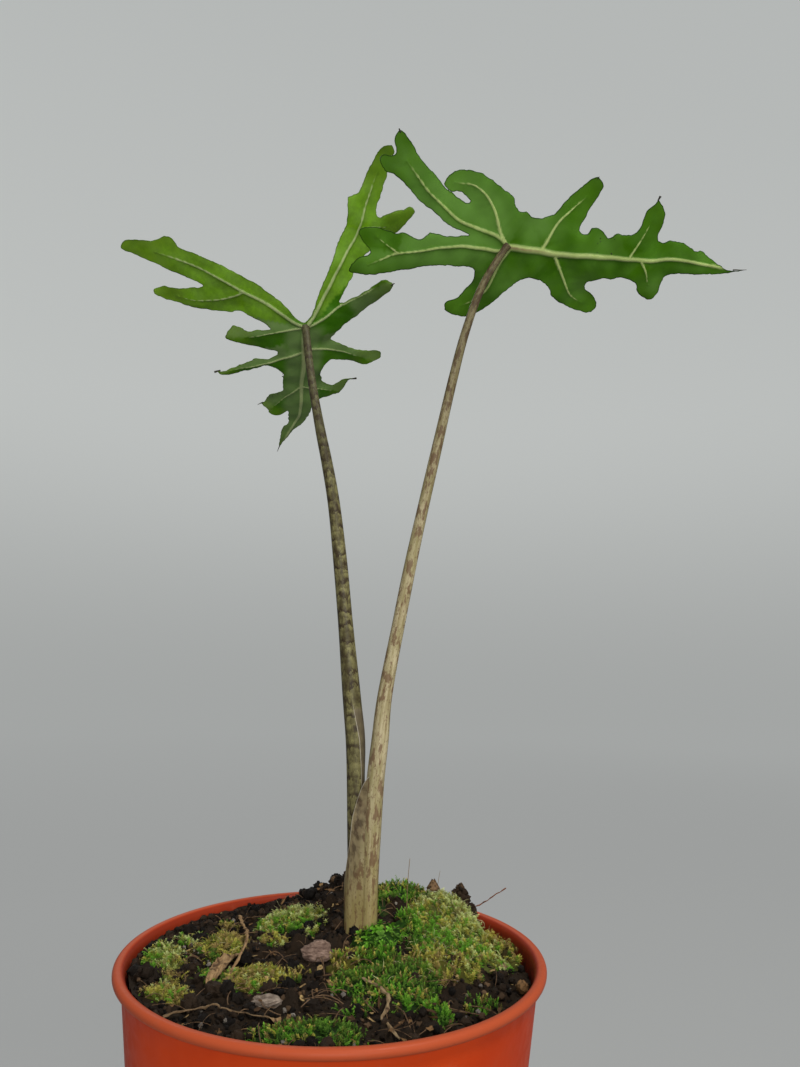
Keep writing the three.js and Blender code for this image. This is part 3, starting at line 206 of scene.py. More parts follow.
LEFT_LEAF = {
    "junction": (-19.5, 28, 294), "tilt": 38, "turn": -20, "heading": 109,
    "lobes": {
        "basal_left": [
            (-2, 1), (-7.5, 10), (-11.5, 19), (-14.5, 30), (-16, 39.5), (-16.5, 45.5),
            (-19, 48.5), (-19, 50.5), (-16.5, 54), (-16, 58.5), (-15.5, 61), (-15, 63),
            (-13, 64), (-12, 63.5), (-10.5, 59.5), (-9.5, 55), (-9, 52), (-8, 49),
            (-7, 42), (-6, 36.5),
        ],
        "basal_left_branch": [
            (-5, 37), (-2.5, 43.5), (-1.5, 49.5), (0.5, 52.5), (1.5, 52), (3, 48.5),
            (3.5, 43), (3.5, 36), (1.5, 27), (0, 23), (0.5, 19), (1.5, 14), (3, 12),
        ],
        "left_first": [
            (5, 17), (6, 19.5), (5.5, 22), (5.5, 24.5), (7, 25.5), (10, 27), (11, 26.5),
            (11, 23), (11.5, 21), (12, 18), (12.5, 12.5), (12.5, 7.5),
        ],
        "left_second": [
            (14, 7.5), (16.5, 9.5), (17.5, 12), (18, 15), (19, 16), (21, 18), (25, 22.5),
            (27, 26), (27, 27.5), (28, 26.5), (28, 23), (25.5, 18.5), (21.5, 13), (20, 10),
            (20.5, 7.5), (23, 3.5),
        ],
        "left_third": [
            (24.5, 3), (28, 2.5), (33, 1.5), (35, 3), (36.5, 5.5), (42, 7), (42.5, 8),
            (45.5, 5), (47.5, 3.5), (47.5, -0.5), (44.5, -3),
        ],
        "tip": [
            (48, -4), (52.5, -5), (55, -3.5), (60, -3.5), (68.5, -4.5), (65, -5.5),
            (56, -8), (50.5, -11), (42, -12), (38.5, -12),
        ],
        "right_third": [
            (36, -14), (34, -19), (32, -22), (29, -23), (25.5, -23.5), (23.5, -25),
            (25.5, -21), (27.5, -19.5), (28.5, -18), (28, -15.5), (26.5, -13), (24, -12),
        ],
        "right_waist": [(20.5, -10.5), (17, -11), (14.5, -12), (13.5, -13)],
        "right_second": [
            (13.5, -16), (14, -22), (15, -26.5), (14, -29), (11.5, -32.5), (9.5, -32.5),
            (8.5, -32), (9, -27), (8, -20), (6.5, -16.5), (4.5, -11),
        ],
        "right_first": [
            (2, -11.5), (-3, -14.5), (-5.5, -17), (-10.5, -21.5), (-14, -25.5), (-19.5, -29),
            (-20.5, -27.5), (-21, -25), (-18, -21.5), (-13.5, -15.5), (-11, -10.5),
        ],
        "basal_right_branch": [
            (-13.5, -11), (-20.5, -14), (-24, -15.5), (-28, -19), (-32, -24), (-35.5, -27.5),
            (-43.5, -32), (-44.5, -31), (-44.5, -30), (-43.5, -28.5), (-42.5, -26), (-40, -22),
        ],
        "basal_right": [
            (-39, -20.5), (-39.5, -19), (-42, -19), (-44.5, -19.5), (-47.5, -20), (-52, -20.5),
            (-55, -20), (-59, -21), (-60.5, -20.5), (-61.5, -19.5), (-60.5, -17), (-59, -16),
            (-52.5, -14), (-45.5, -12), (-43.5, -9.5), (-43, -8), (-40, -8.5), (-36.5, -9),
            (-34.5, -9), (-30.5, -7.5), (-19, -4.5), (-13.5, -3), (-4.5, -1),
        ],
    },
    "veins": {
        "mid": (20, 2.4, None, [
            (-0.5, 0), (4.5, -0.5), (16, -3), (26.5, -4.5), (36, -6.5), (47.5, -8), (53.5, -7), (67, -4.8),
        ]),
        "basal_left": (14, 1.9, None, [
            (-0.5, 0), (-1.5, 4.5), (-5.5, 13.5), (-8, 23), (-10, 29.5), (-11.5, 37.5), (-12.5, 44.5),
            (-13, 53),
        ]),
        "basal_left_branch": (12, 1.1, "basal_left", [(-8, 23), (-4, 28), (-1.5, 33), (0.5, 39), (1, 44)]),
        "basal_right": (22, 1.9, None, [
            (-0.5, 0), (-5, -2), (-22.5, -8.5), (-28, -11), (-32, -13), (-42.5, -15), (-51.5, -17),
        ]),
        "basal_right_branch": (14, 1.1, "basal_right", [(-34, -13.5), (-35.5, -18), (-36.5, -24)]),
        "left_first": (3, 1.1, None, [(0, 0.5), (2, 6), (4.5, 11.5), (7.5, 17), (8.5, 20)]),
        "left_second": (8, 1.2, "mid", [(11, -1), (14, 3.5), (18, 9), (22, 16), (26, 22.5)]),
        "left_third": (14, 0.9, "mid", [(29.5, -4.5), (35, -1), (44, 3)]),
        "right_first": (5, 1.2, None, [(-1, -1), (-4.5, -5.5), (-10, -11), (-15, -18.5), (-18.5, -23.5)]),
        "right_second": (7, 1.2, "mid", [(9, -3), (8.5, -10), (9, -15), (10, -19.5), (11.5, -24)]),
        "right_third": (13, 0.9, "mid", [(29, -6), (30, -12.5), (31.5, -19.5)]),
    },
    "points": [
        ((26.6, 26.4), (27.7, 28.5), 0.25, 0.42), ((42.2, 7.4), (43.3, 9.4), 0.22, 0.12),
        ((24.0, -24.4), (22.7, -26.0), 0.2, 0.42), ((67.0, -4.8), (71.5, -4.2), 0.3, 0.08),
        ((-19.4, -28.0), (-20.3, -29.2), 0.3, 0.2),
    ],
    "specks": [(35.5, 2.9), (24.6, 3.4), (23.3, 3.5), (20.6, -10.6), (21.5, -10.4), (37.5, 4.6)],
    "pale": [],
    # A band of painted sheen along the midrib, and no veins with painted sheen beside them
    "painted_sheen_middle": 6.5, "glow": (), "olive": 0.45,
    # The side of each vein, 1 towards the tip, that is painted dull grey-green as sheen, and how far out that
    # starts
    "painted_sheen_side": {
        "left_first": -1, "left_second": -1, "left_third": -1,
        "right_first": 1, "right_second": -1, "right_third": -1,
    },
    "painted_sheen_from": {"right_first": 15},
}

# Clumps of moss on the soil: x, y, half width, half depth, height, kind and tone
MOSS = {
    "moss_leafy_front": (12.5, 7, 8, 5.5, 3.6, "leafy", "bright"),
    "moss_green_front": (18, -13.5, 13, 12, 2.6, "plume", "green"),
    "moss_pale_mound": (35, 19, 14, 19, 6.5, "soft", "pale"),
    "moss_green_back": (19, 35, 10, 9, 4, "plume", "green"),
    "moss_pale_back": (-17, 31, 11, 7, 3, "soft", "pale"),
    "moss_tan_left": (-34, 12, 8.5, 10, 3, "soft", "tan"),
    "moss_rim_left": (-48.5, 1, 5.5, 10, 2.2, "soft", "pale"),
    "moss_yellow_left": (-41, -23, 6, 5, 2, "soft", "yellow"),
    "moss_yellow_front": (-21, -10, 9.5, 7, 2.3, "soft", "yellow"),
    "moss_bright_front": (-2, -41, 14, 6.5, 2.2, "plume", "green"),
    "moss_tuft_front": (28, -27, 4, 6, 2.6, "spire", "bright"),
}
DOME_EDGE = 0.4
SHOOT_GAP = {"spire": 0.95, "leafy": 1.35, "soft": 0.86, "plume": 0.86}

# Lower moss between the clumps: x, y, radius, height, kind and tone
CARPETS = [
    (28, -2, 9, 2.2, "soft", "yellow"), (26, 6, 8, 2.6, "soft", "bright"),
    (37, -3, 6.5, 1.4, "soft", "yellow"), (46, 4, 7, 2.4, "soft", "pale"),
    (23, 14, 7, 3.2, "plume", "bright"), (52, 12, 5, 6.2, "soft", "tan"), (53, 5, 4, 3.4, "soft", "yellow"),
    (48.5, 16, 6.5, 6, "soft", "yellow"), (47, 25, 5, 3.0, "soft", "tan"),
    (-14, 24, 5, 1.2, "soft", "bright"), (13, -2, 7, 2.6, "plume", "bright"),
    (5, -13, 6, 1.6, "plume", "green"), (-26, -14, 4, 1.2, "soft", "tan"),
    (3, -2, 6, 1.6, "plume", "yellow"), (12, 26, 7, 2.2, "plume", "green"),
    (30, 42, 7, 1.6, "plume", "yellow"), (-8, 20, 5, 1.0, "soft", "pale"),
    (-20, 16, 4.5, 1.0, "soft", "yellow"), (-33, -8, 5, 1.0, "soft", "green"),
    (-44, -12, 5, 1.0, "soft", "tan"), (-45, 16, 5, 1.2, "soft", "pale"), (-10, -8, 5, 0.8, "plume", "tan"),
    (40, -20, 5, 0.8, "spire", "green"), (-36, 27, 5, 1.0, "soft", "tan"),
    (8, -26, 5, 0.8, "plume", "green"),
]

# Where the stems leave the soil, and the room that the lower moss leaves round them
STEM_FOOT = (7, 14)
STEM_ROOM = 5.5

# Dry bits on the soil: material, radii at both ends, then stops (x, y, height over the soil)
TWIGS = {
    "dry_leaf_stalk": ("dry_stalk", 0.9, 0.5, [
        (-34, 36, 1.6), (-31, 26, 3), (-27, 12, 4.5), (-26.5, 2, 4), (-27.5, -9, 2.4), (-29.5, -19, 1.2)]),
    "long_dry_root": ("dry_root", 0.65, 0.45, [
        (-38, -37, 1.2), (-32.5, -32.5, 2), (-25, -31, 2), (-13, -33.5, 1.2)]),
    "curled_dry_root": ("pale_root", 1, 0.5, [
        (9, -13, 2.2), (14.5, -20.5, 2.8), (16, -27, 2.4), (14.5, -34, 1.4), (19, -42, 1.2)]),
    "reddish_twig": ("red_twig", 0.5, 0.35, [
        (40.5, 36.5, 1), (44.6, 34, 5.9), (48.9, 31.5, 12.2), (53, 28, 18.8)]),
}
# The least height of their middle line over the peat
TWIG_LIFT = 0.7
# Bark: material, x, y, half sizes
CHUNKS = {
    "bark_chip_right": ("chip_tan", 49, 3, (2.2, 1.8, 1.3)),
    "bark_chip_front": ("chip_grey", -15, -24, (4, 2.4, 1.6)),
    "pink_bark_lump": ("bark_pink", -5, 3, (4.6, 3.4, 2.6)),
}

# Dry leaves: place, lift, length, width, turn in radians, seed
DRY_LEAVES = [
    ((-30.5, -5), 2.9, 22, 4.6, 1.42, 801), ((-4.4, 10.6), 2.0, 5, 3.4, 0.4, 802),
    ((-12, -33), 0.9, 4.5, 2.6, 2.4, 803),
]
# Upright hairs: x, y, x and y of the top, height over the soil, radius
HAIRS = [(21, 24, 21.7, 24, 15.2, 0.15), (30.4, 27, 31.6, 27.5, 12.2, 0.10), (44, 12, 46, 11, 9.0, 0.09)]
# Loose grey lumps: x, y, radius, tint
LOOSE_LUMPS = [(52.3, -10.5, 1.7, 0.55), (-24, -41, 1.2, 0.3), (38, -33, 1.0, 0.2)]
BUD = {"place": (29.5, 28), "lift": 5.6, "radius": 1.9, "height": 3.8, "scales": 18}
# Hairs over the moss: x, y, half width, half depth, height, count
THREADS = [
    (35, 19, 13, 17, 6.5, 170), (27, 2, 9, 8, 2.5, 50), (-17, 31, 10, 6, 3, 25), (18, -13, 11, 10, 2.6, 30),
    (-34, 12, 8, 9, 3, 25),
]

# The camera, on the photograph's 800 x 1067 frame
CAMERA = {
    "place": (16.14, -245.14, 177.65), "look_up": 8.9, "roll": 1.32,
    "focal_px": 801, "height_px": 1067, "sensor": 36,
}
# The backdrop in millimetres, and the strength of the light from all sides
STUDIO = {"radius": 2600, "height": 3200, "bend": 900, "sides": 96, "sky": 0.22}
# Lights in metres: place, aim, size, power and colour
LIGHTS = {
    "front": ((0.20, -1.30, 0.46), (0.02, 0, 0.20), 0.7, 11.5, (1.0, 0.99, 0.97)),
    "key": ((0.45, -0.45, 1.15), (0.02, 0, 0.15), 0.45, 8.5, (1.0, 0.985, 0.95)),
    "back": ((-0.3, 0.9, 1.0), (0.02, 0, 0.2), 0.8, 2.5, (1.0, 1.0, 1.0)),
}


# Small helpers for shapes

class Shape:
    """Points in millimetres, triangles, and numbers at each point that the materials read."""

    def __init__(self, points, triangles, **values):
        self.points = np.asarray(points, float).reshape(-1, 3)
        self.triangles = np.asarray(triangles, int).reshape(-1, 3)
        self.values = {name: np.asarray(value, float) for name, value in values.items()}


def join(shapes):
    """One shape of several that hold the same values."""
    starts = np.cumsum([0] + [len(shape.points) for shape in shapes])
    values = {name: np.concatenate([shape.values[name] for shape in shapes]) for name in shapes[0].values}
    triangles = np.concatenate([shape.triangles + start for shape, start in zip(shapes, starts)])
    return Shape(np.concatenate([shape.points for shape in shapes]), triangles, **values)


def unit(vectors):
    return vectors / np.maximum(np.linalg.norm(vectors, axis=-1, keepdims=True), 1e-9)


def smoothstep(low, high, values):
    share = np.clip((values - low) / (high - low), 0, 1)
    return share * share * (3 - 2 * share)


def beside(*parts):
    """Arrays of numbers side by side, as the columns of one array."""
    return np.stack([np.ravel(part) for part in parts], 1)


def lengths_along(path):
    """The distance along a path to each of its points."""
    return np.concatenate([[0], np.cumsum(np.linalg.norm(np.diff(path, axis=0), axis=1))])


def waves(points, length, seed, count=14):
    """A smooth random field from -1 to 1: sine waves of about this length, in random directions."""
    rng = np.random.default_rng(seed)
    total = np.zeros(len(points))
    for _ in range(count):
        direction = unit(rng.normal(size=points.shape[1]))
        pitch = 2 * math.pi / (length * rng.uniform(0.7, 1.5))
        total += np.sin(points @ direction * pitch + rng.uniform(0, 2 * math.pi))
    return np.clip(total / math.sqrt(count / 2) / 2, -1, 1)


def spline(stops, step, closed=False, axes=3):
    """Points about a step apart on a centripetal Catmull-Rom curve through the stops. Numbers
    after the first axes, such as a radius, are carried along."""
    stops = np.asarray(stops, float)
    if closed:
        stops = np.vstack([stops[-1:], stops, stops[:2]])
    else:
        stops = np.vstack([2 * stops[0] - stops[1], stops, 2 * stops[-1] - stops[-2]])
    rows = []
    for i in range(len(stops) - 3):
        p0, p1, p2, p3 = stops[i:i + 4]
        gaps = np.diff(stops[i:i + 4], axis=0)
        g0, g1, g2 = (max(np.linalg.norm(gap[:axes]) ** 0.5, 1e-4) for gap in gaps)
        m1 = ((p1 - p0) / g0 - (p2 - p0) / (g0 + g1) + (p2 - p1) / g1) * g1
        m2 = ((p2 - p1) / g1 - (p3 - p1) / (g1 + g2) + (p3 - p2) / g2) * g1
        count = max(1, round(np.linalg.norm((p2 - p1)[:axes]) / step))
        t = (np.arange(count) / count)[:, None]
        rows.append((2 * t**3 - 3 * t**2 + 1) * p1 + (t**3 - 2 * t**2 + t) * m1
                    + (3 * t**2 - 2 * t**3) * p2 + (t**3 - t**2) * m2)
    if not closed:
        rows.append(stops[-2:-1])
    return np.vstack(rows)


def grid_triangles(rows, columns, wrap=False):
    """Triangles of a grid of points, joined round its columns if wrap is true."""
    i, j = np.meshgrid(np.arange(rows - 1), np.arange(columns if wrap else columns - 1), indexing="ij")
    a, b = i * columns + j, i * columns + (j + 1) % columns
    return np.concatenate([beside(a, b, b + columns), beside(a, b + columns, a + columns)])


def closed_rings(rings, sides):
    """Triangles of rings of points. The middle points of the first and last ring come after them."""
    j, first_middle = np.arange(sides), rings * sides
    after, last = (j + 1) % sides, (rings - 1) * sides
    return np.concatenate([
        grid_triangles(rings, sides, True),
        beside(np.full(sides, first_middle), after, j),
        beside(np.full(sides, first_middle + 1), last + j, last + after),
    ])


def ring_angles(sides):
    return np.arange(sides) / sides * 2 * math.pi


def revolve(profile, sides, swell=1):
    """Rings of points round Z, one for each row of radius and height."""
    turn, reach = ring_angles(sides), profile[:, :1] * swell
    return beside(reach * np.cos(turn), reach * np.sin(turn), np.repeat(profile[:, 1], sides))


def sheet(rows, columns, start=0.0, end=1.0, side=1.0):
    """Two numbers at each point of a small sheet: from start to end along it, and across it."""
    return np.meshgrid(np.linspace(start, end, rows), np.linspace(-side, side, columns), indexing="ij")


def tube(rows, sides, swell=None, flatten=1.0):
    """A tube along rows (x, y, z, radius), closed at both ends. Its value along is the point's
    place on the straightened tube: two numbers round it and the length from its start."""
    path = rows[:, :3]
    tangents, lengths = unit(np.gradient(path, axis=0)), lengths_along(path)
    across, turn = np.array([1.0, 0, 0]), ring_angles(sides)
    points, along = [], []
    for middle, tangent, radius, length in zip(path, tangents, rows[:, 3], lengths):
        across = unit(across - tangent * (across @ tangent))
        ring = radius * beside(np.cos(turn), flatten * np.sin(turn), np.zeros(sides))
        if swell:
            ring = ring * (1 + swell(turn, length))[:, None]
        points.append(middle + ring[:, :1] * across + ring[:, 1:2] * np.cross(tangent, across))
        along.append(ring + [0, 0, length])
    points = np.vstack([*points, path[:1], path[-1:]])
    along = np.vstack([*along, [[0, 0, 0]], [[0, 0, lengths[-1]]]])
    return Shape(points, closed_rings(len(path), sides), along=along)


def turned(ups, spins):
    """Frames for small copies: column 2 points up along ups, and spins turn about it."""
    ups = unit(ups)
    side = unit(np.cross(ups, [0.31, 0.95, 0.05]))
    other = np.cross(ups, side)
    c, s = np.cos(spins)[:, None], np.sin(spins)[:, None]
    return np.stack([side * c + other * s, other * c - side * s, ups], axis=2)


def scatter(template, places, frames, scales, **values):
    """Copies of a small shape. Each extra value has one number a copy."""
    count, size = len(places), len(template.points)
    points = np.einsum("nij,vj->nvi", frames * scales[:, None, None], template.points) + places[:, None, :]
    triangles = template.triangles[None] + (np.arange(count) * size)[:, None, None]
    kept = {name: np.tile(value, count) for name, value in template.values.items()}
    kept.update({name: np.repeat(value, size) for name, value in values.items()})
    return Shape(points, triangles, **kept)


def one_copy(template, place, up, spin=0.0, scale=1.0, **values):
    """One turned copy of a small shape."""
    values = {name: np.array([value]) for name, value in values.items()}
    frames = turned(np.array([up]), np.array([spin]))
    return scatter(template, np.array([place], float), frames, np.array([scale]), **values)


def add_object(name, data):
    made = bpy.data.objects.new(name, data)
    bpy.context.scene.collection.objects.link(made)
    return made


def add_piece(name, shape, materials, replaces=(), material_of=None, sharp=60):
    """The shape as a Blender object that rides on the plant's one body."""
    mesh = bpy.data.meshes.new(name)
    count = len(shape.triangles)
    mesh.vertices.add(len(shape.points))
    mesh.vertices.foreach_set("co", (shape.points * MM).ravel())
    mesh.loops.add(3 * count)
    mesh.loops.foreach_set("vertex_index", shape.triangles.ravel())
    mesh.polygons.add(count)
    mesh.polygons.foreach_set("loop_start", np.arange(0, 3 * count, 3))
    if material_of is not None:
        mesh.polygons.foreach_set("material_index", material_of)
    for key, value in shape.values.items():
        vector = value.ndim == 2
        layer = mesh.attributes.new(key, "FLOAT_VECTOR" if vector else "FLOAT", "POINT")
        layer.data.foreach_set("vector" if vector else "value", value.ravel())
    mesh.update(calc_edges=True)
    mesh.validate()
    mesh.set_sharp_from_angle(angle=math.radians(sharp))
    for material in materials:
        mesh.materials.append(material)
    piece = add_object(name, mesh)
    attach(piece, BODY)
    if replaces:
        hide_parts(*replaces)
    return piece


# Small helpers for materials

class Finish:
    """A procedural material, made by short calls that each add one node."""

    def __init__(self, name):
        self.material = bpy.data.materials.new(name)
        self.material.use_nodes = True
        self.tree = self.material.node_tree
        self.shader = self.tree.nodes["Principled BSDF"]

    def node(self, kind, inputs=None, **settings):
        made = self.tree.nodes.new(kind)
        for key, value in settings.items():
            setattr(made, key, value)
        for key, value in (inputs or {}).items():
            self.plug(made.inputs[key], value)
        return made

    def plug(self, socket, value):
        if isinstance(value, bpy.types.NodeSocket):
            self.tree.links.new(value, socket)
        elif value is not None:
            socket.default_value = value

    def number(self, name):
        return self.node("ShaderNodeAttribute", attribute_name=name).outputs["Fac"]

    def vector(self, name):
        return self.node("ShaderNodeAttribute", attribute_name=name).outputs["Vector"]

    def place(self):
        """The point's place in millimetres."""
        return self.stretch(self.node("ShaderNodeTexCoord").outputs["Object"], [1 / MM] * 3)

    def upward(self, vector):
        """The third number of a vector."""
        return self.node("ShaderNodeSeparateXYZ", {0: vector}).outputs["Z"]

    def stretch(self, vector, scale):
        return self.node("ShaderNodeVectorMath", {0: vector, 1: scale}, operation="MULTIPLY").outputs[0]

    def noise(self, vector, size, detail=3, rough=0.55):
        """Noise from 0 to 1 whose blotches are about size millimetres across."""
        inputs = {"Vector": vector, "Scale": 1 / size, "Detail": detail, "Roughness": rough}
        return self.node("ShaderNodeTexNoise", inputs).outputs["Fac"]

    def math(self, operation, a, b=None):
        return self.node("ShaderNodeMath", {0: a, 1: b}, operation=operation).outputs[0]

    def times(self, a, b):
        return self.math("MULTIPLY", a, b)

    def band(self, value, low, high, to_low=0.0, to_high=1.0):
        """The value from low to high, spread smoothly over to_low to to_high."""
        inputs = {"Value": value, "From Min": low, "From Max": high, "To Min": to_low, "To Max": to_high}
        return self.node("ShaderNodeMapRange", inputs, interpolation_type="SMOOTHSTEP").outputs["Result"]

    def mix(self, share, a, b):
        """A mix of two colours, each a colour or a socket."""
        a, b = (value if isinstance(value, bpy.types.NodeSocket) else (*value, 1) for value in (a, b))
        return self.node("ShaderNodeMix", {0: share, 6: a, 7: b}, data_type="RGBA").outputs[2]

    def bump(self, height, strength, distance, normal=None):
        """Bump with distance in millimetres."""
        inputs = {"Height": height, "Strength": strength, "Distance": distance * MM, "Normal": normal}
        return self.node("ShaderNodeBump", inputs).outputs["Normal"]

    def done(self, colour, roughness, normal=None, shine=None, **settings):
        self.plug(self.shader.inputs["Base Color"], colour)
        self.plug(self.shader.inputs["Roughness"], roughness)
        self.plug(self.shader.inputs["Normal"], normal)
        self.plug(self.shader.inputs["Specular IOR Level"], shine)
        for key, value in settings.items():
            self.shader.inputs[key.replace("_", " ")].default_value = value
        return self.material


# Materials

def terracotta_plastic():
    """Orange-brown moulded plastic: browner on the lip, darker and redder inside as painted shade, dusty and
    lightly scuffed.
    """
    f = Finish("terracotta_plastic")
    place = f.place()
    cloud = f.noise(place, 22, 4)
    colour = f.mix(f.band(cloud, 0.35, 0.7), (0.50, 0.042, 0.005), (0.58, 0.056, 0.008))
    colour = f.mix(f.number("lip"), colour, (0.43, 0.075, 0.026))
    # Painted shade: the inside of the pot is darker
    colour = f.mix(f.number("inside"), colour, (0.26, 0.028, 0.009))
    dust = f.times(f.band(f.noise(place, 6, 6, 0.7), 0.52, 0.75), 0.15)
    colour = f.mix(dust, colour, (0.36, 0.13, 0.075))
    soiled = f.times(f.number("soiled"), f.band(f.noise(place, 2.2, 5, 0.7), 0.42, 0.6))
    colour = f.mix(soiled, colour, (0.05, 0.024, 0.015))
    scuffs = f.noise(f.stretch(place, (0.25, 0.25, 2.2)), 1.1, 3)
    roughness = f.band(f.noise(place, 3, 4), 0.3, 0.75, 0.36, 0.52)
    normal = f.bump(f.noise(place, 0.5, 3), 0.12, 0.08)
    normal = f.bump(scuffs, 0.08, 0.1, normal)
    return f.done(colour, roughness, normal, shine=0.11)


def peat():
    """Moist black-brown peat with fibres and paler flecks."""
    f = Finish("peat")
    place = f.place()
    colour = f.mix(f.noise(place, 3.5, 6, 0.7), (0.004, 0.003, 0.002), (0.036, 0.022, 0.012))
    fibre = f.band(f.noise(f.stretch(place, (1, 0.25, 1)), 0.5, 4, 0.6), 0.66, 0.74)
    colour = f.mix(f.times(fibre, 0.5), colour, (0.13, 0.075, 0.035))
    normal = f.bump(f.noise(place, 0.8, 8, 0.75), 0.8, 0.7)
    roughness = f.band(f.noise(place, 5, 3), 0.4, 0.65, 0.62, 0.95)
    return f.done(colour, roughness, normal, shine=0.12)


def crumb():
    """Loose peat crumbs, each with its own brown."""
    f = Finish("peat_crumb")
    place = f.place()
    tint = f.number("tint")
    colour = f.mix(tint, (0.005, 0.0035, 0.0025), (0.045, 0.027, 0.015))
    colour = f.mix(f.band(tint, 0.9, 0.97), colour, (0.14, 0.085, 0.045))
    normal = f.bump(f.noise(place, 0.35, 6, 0.75), 0.9, 0.4)
    roughness = f.band(f.noise(place, 1.5, 3), 0.35, 0.7, 0.5, 0.95)
    return f.done(colour, roughness, normal, shine=0.15)


def flake():
    """Small bits of dead leaf, from straw to dark brown."""
    f = Finish("leaf_flake")
    place = f.place()
    tint = f.number("tint")
    colour = f.mix(f.band(tint, 0, 0.6), (0.045, 0.022, 0.010), (0.20, 0.11, 0.045))
    colour = f.mix(f.band(tint, 0.6, 1.0), colour, (0.42, 0.29, 0.12))
    colour = f.mix(f.band(f.noise(place, 0.7, 4), 0.45, 0.7), colour, (0.05, 0.028, 0.014))
    return f.done(colour, 0.85, f.bump(f.noise(place, 0.3, 3), 0.5, 0.1), shine=0.15)


def grit():
    """Pale mineral grains."""
    f = Finish("grit")
    place = f.place()
    colour = f.mix(f.number("tint"), (0.10, 0.09, 0.07), (0.30, 0.27, 0.21))
    colour = f.mix(f.noise(place, 0.5, 4), colour, (0.12, 0.1, 0.09))
    return f.done(colour, 0.75, f.bump(f.noise(place, 0.25, 3), 0.5, 0.1))


def corm_skin():
    """Brown papery skin with rings of old leaf scars."""
    f = Finish("corm_skin")
    place = f.place()
    rings = f.noise(f.stretch(place, (0.15, 0.15, 1)), 0.9, 4, 0.6)
    colour = f.mix(f.band(rings, 0.35, 0.65), (0.07, 0.035, 0.018), (0.24, 0.13, 0.07))
    return f.done(colour, 0.8, f.bump(rings, 0.6, 0.5))


def stem_bump(f, along, mark):
    """Fine ridges along the stem, and blotches that stand a little proud."""
    ridges = f.noise(f.stretch(along, (1, 1, 0.05)), 0.45, 3)
    normal = f.bump(ridges, 0.25, 0.12)
    return f.bump(mark, 0.15, 0.08, normal)


def scallops(f, along, pitch, wobble, size):
    """Ragged dark arcs across the stem, about this far apart in millimetres. Each has a sharp
    lower edge and fades upward, and some are broken."""
    bend = f.noise(f.stretch(along, (1, 1, 0.5)), size, 6, 0.68)
    turns = f.math("DIVIDE", f.upward(along), pitch)
    phase = f.math("FRACT", f.math("ADD", turns, f.times(bend, wobble)))
    fade = f.times(f.band(phase, 0.0, 0.14), f.band(phase, 0.85, 0.15))
    whole = f.band(f.noise(f.stretch(along, (1, 1, 0.5)), 1.6 * size, 3), 0.34, 0.55, 0.30, 1)
    return f.times(fade, whole)


def stem_dark():
    """Olive skin under dense ragged dark bands, finer and browner towards the leaf."""
    f = Finish("stem_dark")
    along = f.vector("along")
    height = f.number("height")
    upper = f.band(height, 0.62, 0.92)
    skin = f.mix(f.band(f.noise(f.stretch(along, (1, 1, 0.3)), 2.2, 4), 0.34, 0.66),
                 (0.090, 0.078, 0.032), (0.250, 0.230, 0.095))
    skin = f.mix(f.times(upper, 0.75), skin, (0.085, 0.085, 0.042))
    wide = scallops(f, along, 4.8, 2.4, 2.1)
    fine = scallops(f, along, 2.4, 2.0, 1.2)
    mark = f.math("MAXIMUM", wide, f.times(fine, 0.6))
    dark = f.mix(f.noise(along, 0.9, 3), (0.018, 0.012, 0.007), (0.060, 0.040, 0.022))
    dark = f.mix(f.times(upper, 0.5), dark, (0.052, 0.040, 0.027))
    colour = f.mix(mark, skin, dark)
    fleck = f.band(f.noise(f.stretch(along, (1, 1, 0.6)), 0.45, 3), 0.54, 0.68, 0, 0.5)
    colour = f.mix(fleck, colour, (0.050, 0.036, 0.020))
    # Below, its own closed sheath shows as a dull grey-brown skin
    sheath = f.mix(f.noise(f.stretch(along, (1, 1, 0.3)), 1.1, 4), (0.070, 0.052, 0.032), (0.19, 0.155, 0.10))
    colour = f.mix(f.band(f.number("membrane"), 0.35, 0.65, 0, 0.75), colour, sheath)
    roughness = f.band(f.noise(along, 2, 3), 0.3, 0.7, 0.40, 0.55)
    return f.done(colour, roughness, stem_bump(f, along, mark), shine=0.15)


